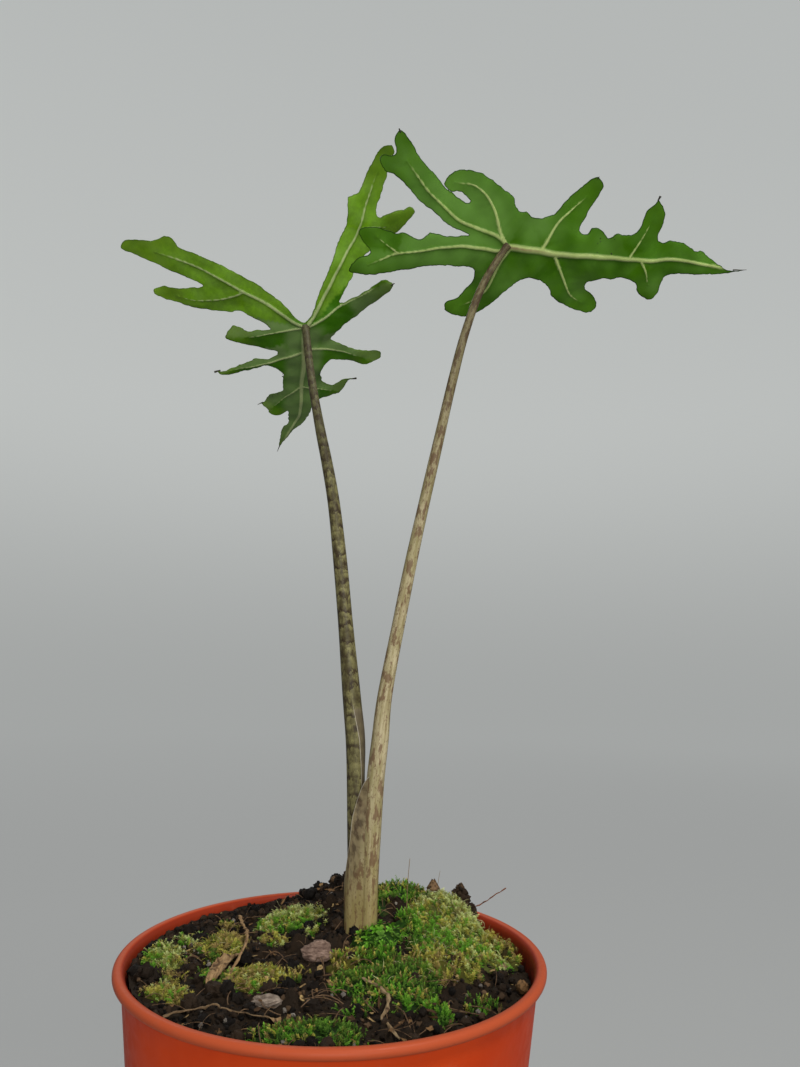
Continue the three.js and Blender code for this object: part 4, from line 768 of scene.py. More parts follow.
def stem_pale():
    """Cream-tan skin with soft reddish-brown mottling, browner and denser towards the leaf."""
    f = Finish("stem_pale")
    along = f.vector("along")
    height = f.number("height")
    streak = f.noise(f.stretch(along, (1, 1, 0.1)), 0.8, 4)
    skin = f.mix(f.band(streak, 0.3, 0.7), (0.29, 0.235, 0.115), (0.52, 0.45, 0.275))
    olive = f.band(f.noise(f.stretch(along, (1, 1, 0.4)), 3.2, 3), 0.4, 0.65, 0, 0.5)
    skin = f.mix(olive, skin, (0.25, 0.22, 0.085))
    skin = f.mix(f.band(height, 0.2, 0.04, 0, 0.8), skin, (0.25, 0.195, 0.065))
    upper = f.band(height, 0.45, 0.98)
    skin = f.mix(f.times(upper, 0.9), skin, (0.125, 0.105, 0.048))
    denser = f.times(upper, 0.04)
    blotch = f.noise(f.stretch(along, (1, 1, 0.34)), 1.5, 4, 0.6)
    blotch = f.band(f.math("ADD", blotch, denser), 0.525, 0.60)
    fleck = f.noise(f.stretch(along, (1, 1, 0.45)), 0.5, 3)
    fleck = f.band(f.math("ADD", fleck, denser), 0.565, 0.66)
    mark = f.math("MAXIMUM", f.times(blotch, 0.75), f.times(fleck, 0.6))
    dark = f.mix(f.noise(along, 2, 3), (0.085, 0.036, 0.020), (0.19, 0.10, 0.055))
    dark = f.mix(upper, dark, (0.060, 0.036, 0.022))
    colour = f.mix(mark, skin, dark)
    # Above the foot the thin sheath is duller and greyer than the stem, with a narrow pale margin
    margin, above = f.number("margin"), f.band(height, 0.06, 0.15)
    wing = f.mix(f.band(f.noise(f.stretch(along, (1, 1, 0.4)), 1.2, 5), 0.38, 0.62),
                 (0.060, 0.038, 0.024), (0.23, 0.18, 0.10))
    colour = f.mix(f.times(f.band(margin, 0.22, 0.50, 0, 0.85), above), colour, wing)
    colour = f.mix(f.times(f.band(margin, 0.94, 0.98, 0, 0.8), above), colour, (0.44, 0.40, 0.31))
    roughness = f.band(f.noise(along, 2, 3), 0.3, 0.7, 0.42, 0.58)
    return f.done(colour, roughness, stem_bump(f, along, mark), shine=0.15)


def scaled(colour, share):
    return [value * share for value in colour]


def side_vein_share(f, outer, inner):
    """How near each point is to a side vein. The mesh counts these veins, and a half lies on one."""
    away = f.math("ABSOLUTE", f.math("SUBTRACT", f.math("FRACT", f.number("side")), 0.5))
    return f.times(f.band(away, outer, inner), f.band(f.number("edge"), 0.8, 2.5))


# Colours of the undersides. young, olive and a pale grey-green painted sheen belong to the places that the
# mesh marks so
UNDERSIDES = {
    "leaf_underside": {
        "dark": (0.040, 0.135, 0.002), "light": (0.061, 0.178, 0.004), "young": (0.042, 0.150, 0.001),
        "painted_sheen": (0.130, 0.285, 0.045), "olive": (0.080, 0.20, 0.006), "margin": (0.012, 0.038, 0.003),
        "vein_dark": (0.40, 0.53, 0.14), "vein_light": (0.56, 0.66, 0.27),
    },
    "young_leaf_underside": {
        "dark": (0.040, 0.150, 0.003), "light": (0.062, 0.190, 0.006), "young": (0.135, 0.290, 0.008),
        "painted_sheen": (0.162, 0.268, 0.078), "olive": (0.130, 0.215, 0.012), "margin": (0.075, 0.135, 0.015),
        "vein_dark": (0.34, 0.44, 0.16), "vein_light": (0.46, 0.54, 0.25),
    },
}
# Dark and light green of the upper sides
UPPER_SIDES = {
    "leaf_top": ((0.022, 0.080, 0.005), (0.045, 0.130, 0.010)),
    "young_leaf_top": ((0.035, 0.110, 0.005), (0.070, 0.185, 0.010)),
}


def leaf_under(name):
    """The underside of a blade: pale raised veins on smooth satin green that varies from lobe to lobe, with
    painted sheen and painted shade beside the veins.
    """
    colours = UNDERSIDES[name]
    f = Finish(name)
    leaf = f.vector("leaf")
    colour = f.mix(f.band(f.noise(leaf, 9, 3), 0.32, 0.68), colours["dark"], colours["light"])
    mottle = f.noise(leaf, 1.6, 5, 0.6)
    young = f.mix(f.band(mottle, 0.35, 0.7), colours["young"], scaled(colours["young"], 1.3))
    colour = f.mix(f.number("young"), colour, young)
    # Painted sheen: pale grey-green over the marked lobe halves, the midrib band and the pale spots
    colour = f.mix(f.number("painted_sheen"), colour, colours["painted_sheen"])
    colour = f.mix(f.times(f.number("olive"), f.band(mottle, 0.25, 0.6, 0.4, 1)), colour, colours["olive"])
    fine = f.noise(leaf, 0.5, 4, 0.6)
    colour = f.mix(f.band(fine, 0.5, 0.8, 0, 0.18), colour, scaled(colours["light"], 1.5))
    side = side_vein_share(f, 0.06, 0.015)
    colour = f.mix(f.times(side, 0.1), colour, scaled(colours["light"], 1.6))
    # Painted shade: darker green close beside the raised veins
    colour = f.mix(f.times(f.number("painted_vein_shade"), 0.18), colour, scaled(colours["dark"], 0.6))
    vein = f.mix(f.noise(leaf, 2.5, 3), colours["vein_dark"], colours["vein_light"])
    vein = f.mix(f.number("core"), vein, (0.30, 0.20, 0.11))
    colour = f.mix(f.number("vein"), colour, vein)
    colour = f.mix(f.times(f.band(f.number("edge"), 0.40, 0.08), 0.85), colour, colours["margin"])
    roughness = f.band(f.noise(leaf, 4, 3), 0.3, 0.7, 0.38, 0.50)
    return f.done(colour, roughness, f.bump(side, 0.12, 0.1, f.bump(fine, 0.10, 0.1)), shine=0.055)


def leaf_top(name):
    """The upper side of a blade: glossy, deeper green, with sunken paler veins."""
    dark, light = UPPER_SIDES[name]
    f = Finish(name)
    leaf = f.vector("leaf")
    colour = f.mix(f.band(f.noise(leaf, 8, 4), 0.3, 0.7), dark, light)
    side = side_vein_share(f, 0.09, 0.02)
    colour = f.mix(f.times(side, 0.22), colour, scaled(light, 1.8))
    colour = f.mix(f.times(f.number("vein"), 0.85), colour, (0.17, 0.30, 0.07))
    colour = f.mix(f.times(f.band(f.number("edge"), 0.42, 0.05), 0.6), colour, (0.05, 0.06, 0.02))
    roughness = f.band(f.noise(leaf, 5, 3), 0.3, 0.7, 0.26, 0.38)
    grain = f.bump(f.noise(leaf, 0.7, 4, 0.6), 0.12, 0.14)
    return f.done(colour, roughness, f.bump(side, -0.25, 0.15, grain), Coat_Weight=0.1)


def dried_tip():
    """Dark dried plant tissue."""
    f = Finish("dried_tip")
    colour = f.mix(f.noise(f.place(), 0.4, 3), (0.008, 0.009, 0.005), (0.05, 0.04, 0.022))
    return f.done(colour, 0.7)


# Colours of moss at the root, in the leaf and at the tip
MOSS_TONES = {
    "bright": ((0.010, 0.032, 0.002), (0.075, 0.240, 0.010), (0.200, 0.440, 0.045)),
    "green": ((0.007, 0.018, 0.002), (0.042, 0.115, 0.010), (0.130, 0.260, 0.035)),
    "pale": ((0.045, 0.055, 0.010), (0.330, 0.380, 0.075), (0.620, 0.680, 0.300)),
    "yellow": ((0.040, 0.038, 0.004), (0.280, 0.270, 0.030), (0.560, 0.500, 0.110)),
    "tan": ((0.030, 0.020, 0.006), (0.230, 0.165, 0.045), (0.450, 0.340, 0.120)),
}


def moss_finish(tone):
    """Moss: dark at the root, pale at the tip, with each shoot its own tint."""
    root, leaf, tip = MOSS_TONES[tone]
    f = Finish("moss_" + tone)
    place = f.place()
    share = f.number("share")
    colour = f.mix(f.band(share, 0.05, 0.5), root, leaf)
    colour = f.mix(f.band(share, 0.55, 1.0), colour, tip)
    other = MOSS_TONES["yellow" if tone in ("bright", "green") else "bright"]
    patch = f.band(f.noise(place, 4, 4, 0.6), 0.52, 0.66, 0, 0.4)
    colour = f.mix(patch, colour, f.mix(f.band(share, 0.2, 1.0), other[0], other[1]))
    tint = f.number("tint")
    colour = f.mix(f.band(tint, 0.4, 1.0, 0, 0.5), colour, f.mix(share, leaf, tip))
    brown = f.band(tint, 0.90, 0.97, 0, 0.8)
    colour = f.mix(brown, colour, (0.15, 0.085, 0.030))
    return f.done(colour, 0.75, f.bump(f.noise(place, 0.3, 3), 0.3, 0.08), shine=0.15)


def thread():
    """Thin hairs, from pale straw to brown."""
    f = Finish("moss_thread")
    place = f.place()
    colour = f.mix(f.band(f.number("tint"), 0.35, 1.0), (0.50, 0.48, 0.25), (0.15, 0.09, 0.045))
    colour = f.mix(f.band(f.noise(place, 1.2, 3), 0.4, 0.7, 0, 0.5), colour, (0.30, 0.24, 0.11))
    return f.done(colour, 0.7, f.bump(f.noise(place, 0.2, 2), 0.3, 0.05), shine=0.2)


# Dry plant matter: its colour, pale streaks and dark patches
DRY_COLOURS = {
    "dry_stalk": ((0.20, 0.115, 0.05), (0.37, 0.24, 0.115), (0.085, 0.045, 0.022)),
    "dry_root": ((0.11, 0.065, 0.03), (0.21, 0.14, 0.075), (0.05, 0.028, 0.015)),
    "pale_root": ((0.17, 0.11, 0.055), (0.33, 0.24, 0.13), (0.075, 0.042, 0.022)),
    "red_twig": ((0.19, 0.065, 0.035), (0.32, 0.13, 0.07), (0.07, 0.026, 0.016)),
    "fibre": ((0.10, 0.055, 0.03), (0.24, 0.15, 0.08), (0.04, 0.02, 0.012)),
    "crumpled_leaf": ((0.19, 0.11, 0.05), (0.38, 0.25, 0.12), (0.075, 0.04, 0.02)),
    "bud_scale": ((0.11, 0.060, 0.030), (0.24, 0.15, 0.075), (0.04, 0.022, 0.012)),
    "hair": ((0.16, 0.10, 0.05), (0.30, 0.20, 0.10), (0.06, 0.035, 0.02)),
}
# Bark: dark and pale layers
BARK_COLOURS = {
    "chip_tan": ((0.22, 0.15, 0.075), (0.44, 0.33, 0.18)),
    "chip_grey": ((0.11, 0.08, 0.06), (0.30, 0.24, 0.19)),
    "bark_pink": ((0.10, 0.06, 0.045), (0.28, 0.19, 0.145)),
}


def dry_litter(name):
    """Dry fibrous plant matter, streaked along its length."""
    base, pale, dark = DRY_COLOURS[name]
    f = Finish(name)
    along = f.vector("along")
    fibre = f.noise(f.stretch(along, (1, 1, 0.12)), 0.35, 5, 0.65)
    colour = f.mix(f.band(fibre, 0.3, 0.7), base, pale)
    colour = f.mix(f.band(f.noise(along, 2.2, 4), 0.50, 0.66), colour, dark)
    return f.done(colour, 0.85, f.bump(fibre, 0.7, 0.25), shine=0.2)


def bark(name):
    """Rough layered bark."""
    base, pale = BARK_COLOURS[name]
    f = Finish(name)
    layer = f.noise(f.stretch(f.place(), (0.5, 0.5, 1.6)), 1.1, 6, 0.7)
    colour = f.mix(f.band(layer, 0.35, 0.65), base, pale)
    return f.done(colour, 0.85, f.bump(layer, 0.8, 0.5), shine=0.2)


# Pot

def wall_radius(z):
    return POT["foot"] + (POT["wall_top"] - POT["foot"]) * z / (POT["height"] - POT["lip"])


def arc(centre, radius, start, end, count):
    """Points (r, z) on an arc, angles in degrees."""
    angles = np.radians(np.linspace(start, end, count))
    return [(centre[0] + radius * math.cos(a), centre[1] + radius * math.sin(a)) for a in angles]


def make_pot():
    under_lip = POT["height"] - POT["lip"]
    bead = POT["bead"]
    outer_top = wall_radius(under_lip)
    # Under the base: a middle pad, a shallow groove and the ring that the pot stands on
    profile = [(0, 0), (POT["pad"] - 0.4, 0), (POT["pad"], 0.2), (POT["pad"] + 1, POT["groove"])]
    profile += [(POT["ring"] - 1, POT["groove"]), (POT["ring"], 0.15), (POT["ring"] + 0.3, 0)]
    profile += arc((POT["foot"] - 1.5, 1.5), 1.5, -90, -4, 7)
    # The outer wall and the rolled lip
    profile += [(wall_radius(z), z) for z in np.linspace(4, under_lip - 1, 24)]
    profile += [(outer_top + 0.25, under_lip - 0.3), (outer_top + 0.8, under_lip + 0.05)]
    profile += arc((POT["rim"] - bead, under_lip + 0.1 + bead), bead, -80, 0, 7)
    profile += arc((POT["rim"] - bead, POT["height"] - bead), bead, 0, 90, 8)
    profile += [(POT["rim"] - 2.0, POT["height"] - 0.05), (POT["rim"] - 2.7, POT["height"] - 0.45)]
    # The inner wall and the floor
    profile += [(outer_top - POT["wall"] - 0.05, POT["height"] - 1.6)]
    profile += [(wall_radius(z) - POT["wall"], z) for z in np.linspace(under_lip - 1, POT["floor"] + 2, 20)]
    profile += arc((wall_radius(4) - POT["wall"] - 1.6, POT["floor"] + 1.6), 1.6, 0, -90, 6)
    profile = np.array([*profile, (0, POT["floor"])])
    # The thin wall is very slightly out of round
    turn = ring_angles(POT["sides"])
    wobble = 1 + 0.0012 * np.sin(2 * turn + 0.6) + 0.0006 * np.sin(5 * turn)
    rings = revolve(profile[1:-1], POT["sides"], wobble)
    points = np.vstack([rings, [0, 0, profile[0, 1]], [0, 0, profile[-1, 1]]])
    shape = Shape(points, closed_rings(len(profile) - 2, POT["sides"]))
    finish = [terracotta_plastic()]
    pot = add_piece("pot_body", shape, finish, ["pot"], sharp=POT_SHARP)
    cut_holes(pot)
    mark_pot(pot.data)


def cut_holes(pot):
    """The drainage holes in the floor."""
    sides = 28
    wall = np.array([[POT["hole"], -1], [POT["hole"], POT["floor"] + 1]])
    points, faces = [], []
    for i in range(POT["holes"]):
        angle = (i + 0.5) / POT["holes"] * 2 * math.pi
        middle = [POT["hole_circle"] * math.cos(angle), POT["hole_circle"] * math.sin(angle), 0]
        points.append(revolve(wall, sides) + middle)
        low = [2 * sides * i + k for k in range(sides)]
        high = [k + sides for k in low]
        faces += [low[::-1], high]
        for k in range(sides):
            after = (k + 1) % sides
            faces.append((low[k], low[after], high[after], high[k]))
    mesh = bpy.data.meshes.new("drill")
    mesh.from_pydata((np.concatenate(points) * MM).tolist(), [], faces)
    drill = add_object("drill", mesh)
    cut = pot.modifiers.new("holes", "BOOLEAN")
    cut.object, cut.operation, cut.solver = drill, "DIFFERENCE", "EXACT"
    made = bpy.data.meshes.new_from_object(pot.evaluated_get(bpy.context.evaluated_depsgraph_get()))
    pot.modifiers.clear()
    pot.data = made
    bpy.data.objects.remove(drill)


def mark_pot(mesh):
    """Shares that the pot's material reads: on the lip, on the inside, where shade is painted, and where soil
    has splashed.
    """
    points = np.empty(3 * len(mesh.vertices))
    mesh.vertices.foreach_get("co", points)
    x, y, z = points.reshape(-1, 3).T / MM
    under_lip = POT["height"] - POT["lip"]
    within = (np.hypot(x, y) < wall_radius(z) - 0.5 * POT["wall"]) & (z > 0.5 * POT["floor"])
    marks = {
        "lip": smoothstep(under_lip - 0.6, under_lip + 0.6, z) * ~within,
        # The inside, which the material paints darker as shade
        "inside": within * 1.0,
        "soiled": within * smoothstep(POT["height"] - 1, SOIL_LEVEL, z),
    }
    for name, value in marks.items():
        mesh.attributes.new(name, "FLOAT", "POINT").data.foreach_set("value", value)
    mesh.set_sharp_from_angle(angle=math.radians(POT_SHARP))


# Soil

def smooth_soil(x, y):
    """The height of the peat's surface without its lumps."""
    z = np.full(np.shape(x), float(SOIL_LEVEL))
    for heap_x, heap_y, height, spread in HEAPS:
        z = z + height * np.exp(-(((x - heap_x) / spread) ** 2 + ((y - heap_y) / spread) ** 2) / 2)
    turn = np.degrees(np.arctan2(y, -np.asarray(x, float)))
    sector = smoothstep(*BANK["start"], turn) * smoothstep(*BANK["end"], turn)
    from_wall = np.maximum(BANK["edge"] - np.hypot(x, y), 0)
    return z + BANK["height"] * sector * np.exp(-from_wall / BANK["reach"])


def soil_lumps():
    """The same lumps as on the soil's solid, from the same plain random numbers."""
    state, lumps = LUMPS["seed"], []
    for _ in range(LUMPS["count"]):
        draws = []
        for _ in range(4):
            state = (state * 1664525 + 1013904223) % 4294967296
            draws.append(state / 4294967296)
        reach = (POT["wall_top"] - 4) * math.sqrt(draws[0])
        angle = draws[1] * 2 * math.pi
        radius, height = (low + (high - low) * draw for (low, high), draw in
                          zip((LUMPS["radius"], LUMPS["height"]), draws[2:]))
        lumps.append((reach * math.cos(angle), reach * math.sin(angle), radius, height))
    return lumps


SOIL_LUMPS = soil_lumps()


def ground(x, y):
    """The height of the peat's surface."""
    z = smooth_soil(x, y)
    for lump_x, lump_y, radius, height in SOIL_LUMPS:
        z = z + height * np.clip(1 - ((x - lump_x) ** 2 + (y - lump_y) ** 2) / radius**2, 0, 1)
    flat = beside(x, y)
    fine = 0.5 * waves(flat, 3.2, 21) + 0.35 * waves(flat, 1.5, 22)
    return z + fine.reshape(np.shape(x))


def make_soil():
    gap, rings, sides = SOIL["gap"], SOIL["rings"], SOIL["sides"]
    bottom = POT["floor"] + 1 + gap
    edge = wall_radius(SOIL_LEVEL - 2) - POT["wall"] - gap
    floor_radius = wall_radius(bottom) - POT["wall"] - gap
    radii = edge * np.arange(rings, 0, -1) / rings
    top = revolve(beside(radii, 0 * radii), sides)
    top[:, 2] = ground(top[:, 0], top[:, 1])
    floor = revolve(np.array([[floor_radius, bottom]]), sides)
    middles = [[0, 0, bottom], [0, 0, ground(np.zeros(1), np.zeros(1))[0]]]
    shape = Shape(np.vstack([floor, top, middles]), closed_rings(rings + 1, sides))
    add_piece("peat_bed", shape, [peat()], ["soil"])


def stone(seed, rings, sides, rough):
    """A small irregular lump about 1 mm in radius."""
    rng = np.random.default_rng(seed)
    points = []
    for i in range(1, rings):
        angle = math.pi * i / rings
        turn = (np.arange(sides) + 0.5 * (i % 2)) / sides * 2 * math.pi
        level = np.full(sides, -np.cos(angle))
        ring = beside(np.sin(angle) * np.cos(turn), np.sin(angle) * np.sin(turn), level)
        points.append(ring * (1 + rough * rng.uniform(-1, 1, (sides, 1))))
    points = np.vstack([*points, [[0, 0, -0.9]], [[0, 0, 0.9]]])
    return Shape(points, closed_rings(rings - 1, sides))


def on_soil(rng, count, reach=55):
    """Random places over the whole round surface."""
    radius, turn = reach * np.sqrt(rng.uniform(size=count)), rng.uniform(0, 2 * math.pi, count)
    return radius * np.cos(turn), radius * np.sin(turn)


def under_moss(x, y):
    """Which places are well inside a clump of moss."""
    covered = np.zeros(np.shape(x), bool)
    for moss_x, moss_y, wide, deep, *_ in MOSS.values():
        covered |= ((x - moss_x) / wide) ** 2 + ((y - moss_y) / deep) ** 2 < 0.6
    return covered


def make_crumbs():
    """Loose crumbs, more of them along the back and left of the rim."""
    rng = np.random.default_rng(41)
    shapes = []
    for kind, (count, small, large, rings, sides) in enumerate(CRUMBS):
        x, y = on_soil(rng, count)
        back = rng.uniform(size=count) < RIM_CRUMBS["share"]
        angle = rng.uniform(math.radians(RIM_CRUMBS["start"]), math.radians(RIM_CRUMBS["end"]), count)
        radius = RIM_CRUMBS["radius"] - np.abs(rng.normal(0, RIM_CRUMBS["spread"], count))
        x, y = np.where(back, radius * np.cos(angle), x), np.where(back, radius * np.sin(angle), y)
        scale = rng.uniform(small, large, count)
        keep = (np.hypot(x, y) + scale < REACH["crumb"]) & ~under_moss(x, y)
        x, y, scale = x[keep], y[keep], scale[keep]
        tint = rng.uniform(size=len(x)) ** 2.2
        spins = rng.uniform(0, 2 * math.pi, len(x))
        frames = turned(rng.normal(size=(len(x), 3)), spins)
        for variant in range(3):
            pick = np.arange(len(x)) % 3 == variant
            places = beside(x, y, ground(x, y) + scale * rng.uniform(-0.1, 0.6, len(x)))[pick]
            template = stone(50 + 10 * kind + variant, rings, sides, 0.3)
            shapes.append(scatter(template, places, frames[pick], scale[pick], tint=tint[pick]))
    shapes.append(crumb_ridge(rng))
    add_piece("peat_crumbs", join(shapes), [crumb()], sharp=75)


def crumb_ridge(rng):
    """A ridge of dark crumbs at the back right, behind the pale moss."""
    x, y = rng.uniform(*RIDGE["x"], RIDGE["count"]), rng.uniform(*RIDGE["y"], RIDGE["count"])
    keep = np.hypot(x, y) < REACH["ridge"]
    x, y = x[keep], y[keep]
    crest = sum(height * np.exp(-((x - peak) / wide) ** 2) for height, peak, wide in RIDGE["peaks"])
    crest = crest * np.exp(-((y - RIDGE["line"]) / RIDGE["width"]) ** 2)
    fill = rng.uniform(0.2, 1, len(x))
    places = beside(x, y, smooth_soil(x, y) + crest * fill + rng.uniform(-0.3, 0.6, len(x)))
    frames = turned(rng.normal(size=(len(x), 3)), rng.uniform(0, 2 * math.pi, len(x)))
    scale = rng.uniform(0.6, 1.3, len(x))
    return scatter(stone(52, 7, 9, 0.3), places, frames, scale, tint=rng.uniform(0.3, 0.95, len(x)))


def make_flakes():
    """Small bent bits of dead leaf lying on the peat and moss."""
    rng = np.random.default_rng(44)
    rows, columns = 4, 3
    t, s = sheet(rows, columns, -0.5, 0.5, 0.5)
    shapes = []
    for x, y in zip(*on_soil(rng, COUNTS["flake"], REACH["grain"])):
        length, width = rng.uniform(0.8, 3.2), rng.uniform(0.5, 1.6)
        ragged = 1 + 0.35 * rng.uniform(-1, 1, t.shape)
        bend = rng.uniform(-0.5, 0.5) * length
        points = beside(t * length * ragged, s * width * ragged * (1 - 1.4 * t**2),
                        bend * t**2 + rng.uniform(-0.5, 0.5) * width * s**2)
        up = [rng.normal(0, 0.35), rng.normal(0, 0.35), 1]
        place = [x, y, ground(x, y) + rng.uniform(0.5, 2.2)]
        shape = Shape(points, grid_triangles(rows, columns))
        shapes.append(one_copy(shape, place, up, rng.uniform(0, 6.28), tint=rng.uniform()))
    add_piece("leaf_flakes", join(shapes), [flake()])


def make_grit():
    """Pale mineral grains in the peat."""
    rng = np.random.default_rng(42)
    count = COUNTS["grain"]
    x, y = on_soil(rng, count, REACH["grain"])
    scale = 0.22 + 0.45 * rng.uniform(size=count) ** 2
    places = beside(x, y, ground(x, y) + 1.2 * scale + 0.5)
    frames = turned(rng.normal(size=(count, 3)), x)
    shape = scatter(stone(71, 5, 7, 0.45), places, frames, scale, tint=rng.uniform(size=count))
    add_piece("grit_grains", shape, [grit()], sharp=30)


def make_fibres():
    """Thin brown plant fibres lying over the peat and moss."""
    rng = np.random.default_rng(43)
    shapes, steps = [], 9
    for start_x, start_y in zip(*on_soil(rng, COUNTS["fibre"], REACH["fibre_start"])):
        length, heading, bend = rng.uniform(3, 15), rng.uniform(0, 2 * math.pi), rng.uniform(-0.16, 0.16)
        turn = heading + bend * np.linspace(0, length, steps)
        x = start_x + np.cumsum(np.cos(turn)) * length / steps
        y = start_y + np.cumsum(np.sin(turn)) * length / steps
        keep = np.hypot(x, y) < REACH["fibre"]
        if keep.sum() < 5:
            continue
        x, y = x[keep], y[keep]
        lift = 1.2 + 1.8 * np.sin(np.linspace(0, math.pi, len(x))) * rng.uniform(0.2, 1)
        radii = np.full(len(x), rng.uniform(0.05, 0.14))
        shapes.append(tube(beside(x, y, smooth_soil(x, y) + lift, radii), 4))
    add_piece("peat_fibres", join(shapes), [dry_litter("fibre")])


def ribbon(rows, width, twist, tint):
    """A flat strip of one quad a step along rows (x, y, z), narrowing to both ends."""
    tangents = unit(np.gradient(rows, axis=0))
    side = unit(np.cross(tangents, [0.1, 0.2, 1.0]))
    other = np.cross(side, tangents)
    share = np.linspace(0, 1, len(rows))
    turn = (twist * share)[:, None]
    across = side * np.cos(turn) + other * np.sin(turn)
    half = (0.5 * width * np.clip(np.sin(math.pi * (0.12 + 0.8 * share)), 0.1, 1))[:, None]
    points = np.stack([rows - across * half, rows + across * half], 1)
    return Shape(points, grid_triangles(len(rows), 2), tint=np.full(2 * len(rows), tint))


# Stems

def at_height(stops, z):
    """The stem's middle and radius at a height."""
    stops = np.asarray(stops)
    return [np.interp(z, stops[:, 2], stops[:, k]) for k in (0, 1, 3)]


def stem_shape(stops, seed):
    """A stem, let into the blade at its top and flared where it meets the veins."""
    rows = spline(stops, 0.8)
    end = unit(rows[-1, :3] - rows[-4, :3])
    tail = [[*(rows[-1, :3] + end * sunk), rows[-1, 3] + 0.25 * sunk] for sunk in (0.5, 1.0, 1.4)]

    def swell(turn, length):
        low = 0.02 * np.sin(2 * turn + 0.02 * length + seed) + 0.012 * np.sin(0.16 * length + seed)
        return low + 0.008 * np.sin(9 * turn + 0.05 * length)

    shape = tube(np.vstack([rows, tail]), 28, swell)
    along = shape.values["along"]
    shape.values["height"] = along[:, 2] / along[:, 2].max()
    shape.values["margin"] = np.zeros(len(shape.points))
    return shape


def sheath_wing(side):
    """One wing of the sheath, from the right stem round the left one, as a thin closed sheet."""
    levels = np.array(SHEATH["levels"])
    run_out = 5
    z = np.linspace(levels[0, 0], levels[-1, 0] + run_out, 70)
    reach = np.interp(z, levels[:, 0], levels[:, 1])
    past_top = z - levels[-1, 0]
    reach = np.where(past_top > 0, levels[-1, 1] * (1 - past_top / run_out), reach)
    reach = np.convolve(np.pad(reach, 4, mode="edge"), np.ones(9) / 9, "valid")
    steps, thickness = 26, SHEATH["thickness"]
    core_x, core_y, core_radius = at_height(LEFT_STEM, z)
    stem_x, stem_y, stem_radius = at_height(RIGHT_STEM, z)
    to_stem = np.arctan2(stem_y - core_y, stem_x - core_x)
    away = np.hypot(stem_x - core_x, stem_y - core_y)
    wrap = core_radius + SHEATH["gap"] + thickness / 2
    # The wing leaves the right stem's skin flush and lies on the line that touches both stems
    flush = stem_radius - thickness / 2
    touch = np.arccos(np.clip((wrap - flush) / away, -1, 1))
    root = np.hypot(away + flush * np.cos(touch), flush * np.sin(touch))
    k = np.arange(steps + 1) / steps
    half = thickness / 2 * (1 - 0.8 * k**1.5) * (1 - SHEATH["thinning"] * k)
    outer, inner, alongs = [], [], []
    for i, height in enumerate(z):
        turn = SHEATH["closed"] * k * reach[i]
        angle = to_stem[i] + side * (turn + 0.03 * math.sin(0.45 * height) * k**3)
        between = np.minimum(wrap[i] / np.cos(np.clip(turn - touch[i], -1.45, 0)), root[i])
        radius = between + 0.25 * k**4 * math.sin(0.3 * height + 1)
        cosine, sine = np.cos(angle), np.sin(angle)
        level = np.full(steps + 1, height)
        for rows, offset in ((outer, half), (inner, -half)):
            reached = radius + offset
            rows.append(beside(core_x[i] + cosine * reached, core_y[i] + sine * reached, level))
        alongs.append(beside(cosine * 4, sine * 4, level))
    points = np.vstack([*outer, *inner])
    n, columns, last = len(points) // 2, steps + 1, (len(z) - 1) * (steps + 1)
    face = grid_triangles(len(z), columns)
    pairs = []
    for a in range(0, last, columns):
        pairs += [(a, a + columns), (a + columns + steps, a + steps)]
    pairs += [(first + j, first + j + 1) for first in (0, last) for j in range(steps)]
    edge = [triangle for a, b in pairs for triangle in ((a, b, b + n), (a, b + n, a + n))]
    height = (points[:, 2] - levels[0, 0]) / (RIGHT_STEM[-1][2] - levels[0, 0])
    return Shape(points, np.concatenate([face, face[:, ::-1] + n, edge]), height=height,
                 along=np.tile(np.concatenate(alongs), (2, 1)), margin=np.tile(k, 2 * len(z)))


def left_membrane(points):
    """How much of the left stem's own closed sheath shows at each point: to the right of its edge."""
    heights, turns = np.array(LEFT_EDGE).T
    z = points[:, 2]
    x, y, _ = at_height(LEFT_STEM, z)
    turn = np.degrees(np.arctan2(points[:, 1] - y, points[:, 0] - x))
    past_edge = turn - np.interp(z, heights, turns)
    share = smoothstep(-8, 8, past_edge) * smoothstep(150, 120, past_edge)
    share *= smoothstep(heights[0] - 4, heights[0], z)
    return share * smoothstep(heights[-1] + 2, heights[-1] - 4, z)


def left_seam():
    """The thin papery edge of the left stem's own sheath, on its front."""
    heights, turns = np.array(LEFT_EDGE).T
    z = np.linspace(heights[0], heights[-1], 90)
    x, y, radius = at_height(LEFT_STEM, z)
    turn = np.radians(np.interp(z, heights, turns))
    out = radius + 0.03
    top = heights[-1]
    thick = SEAM["thin"] + SEAM["more"] * smoothstep(*SEAM["rise"], z) * smoothstep(top + 1, top - 6, z)
    shape = tube(beside(x + out * np.cos(turn), y + out * np.sin(turn), z, thick), 8)
    shape.values["height"] = np.full(len(shape.points), 0.2)
    shape.values["margin"] = np.ones(len(shape.points))
    return shape


def make_stems():
    dark, pale = stem_dark(), stem_pale()
    left = stem_shape(LEFT_STEM, 1)
    left.values["membrane"] = left_membrane(left.points)
    add_piece("stem_left", left, [dark], ["petiole_left"])
    right = join([stem_shape(RIGHT_STEM, 2), sheath_wing(-1), sheath_wing(1)])
    add_piece("stem_right", right, [pale], ["petiole_right"], sharp=75)
    add_piece("stem_left_seam", left_seam(), [pale])


# Leaf blades

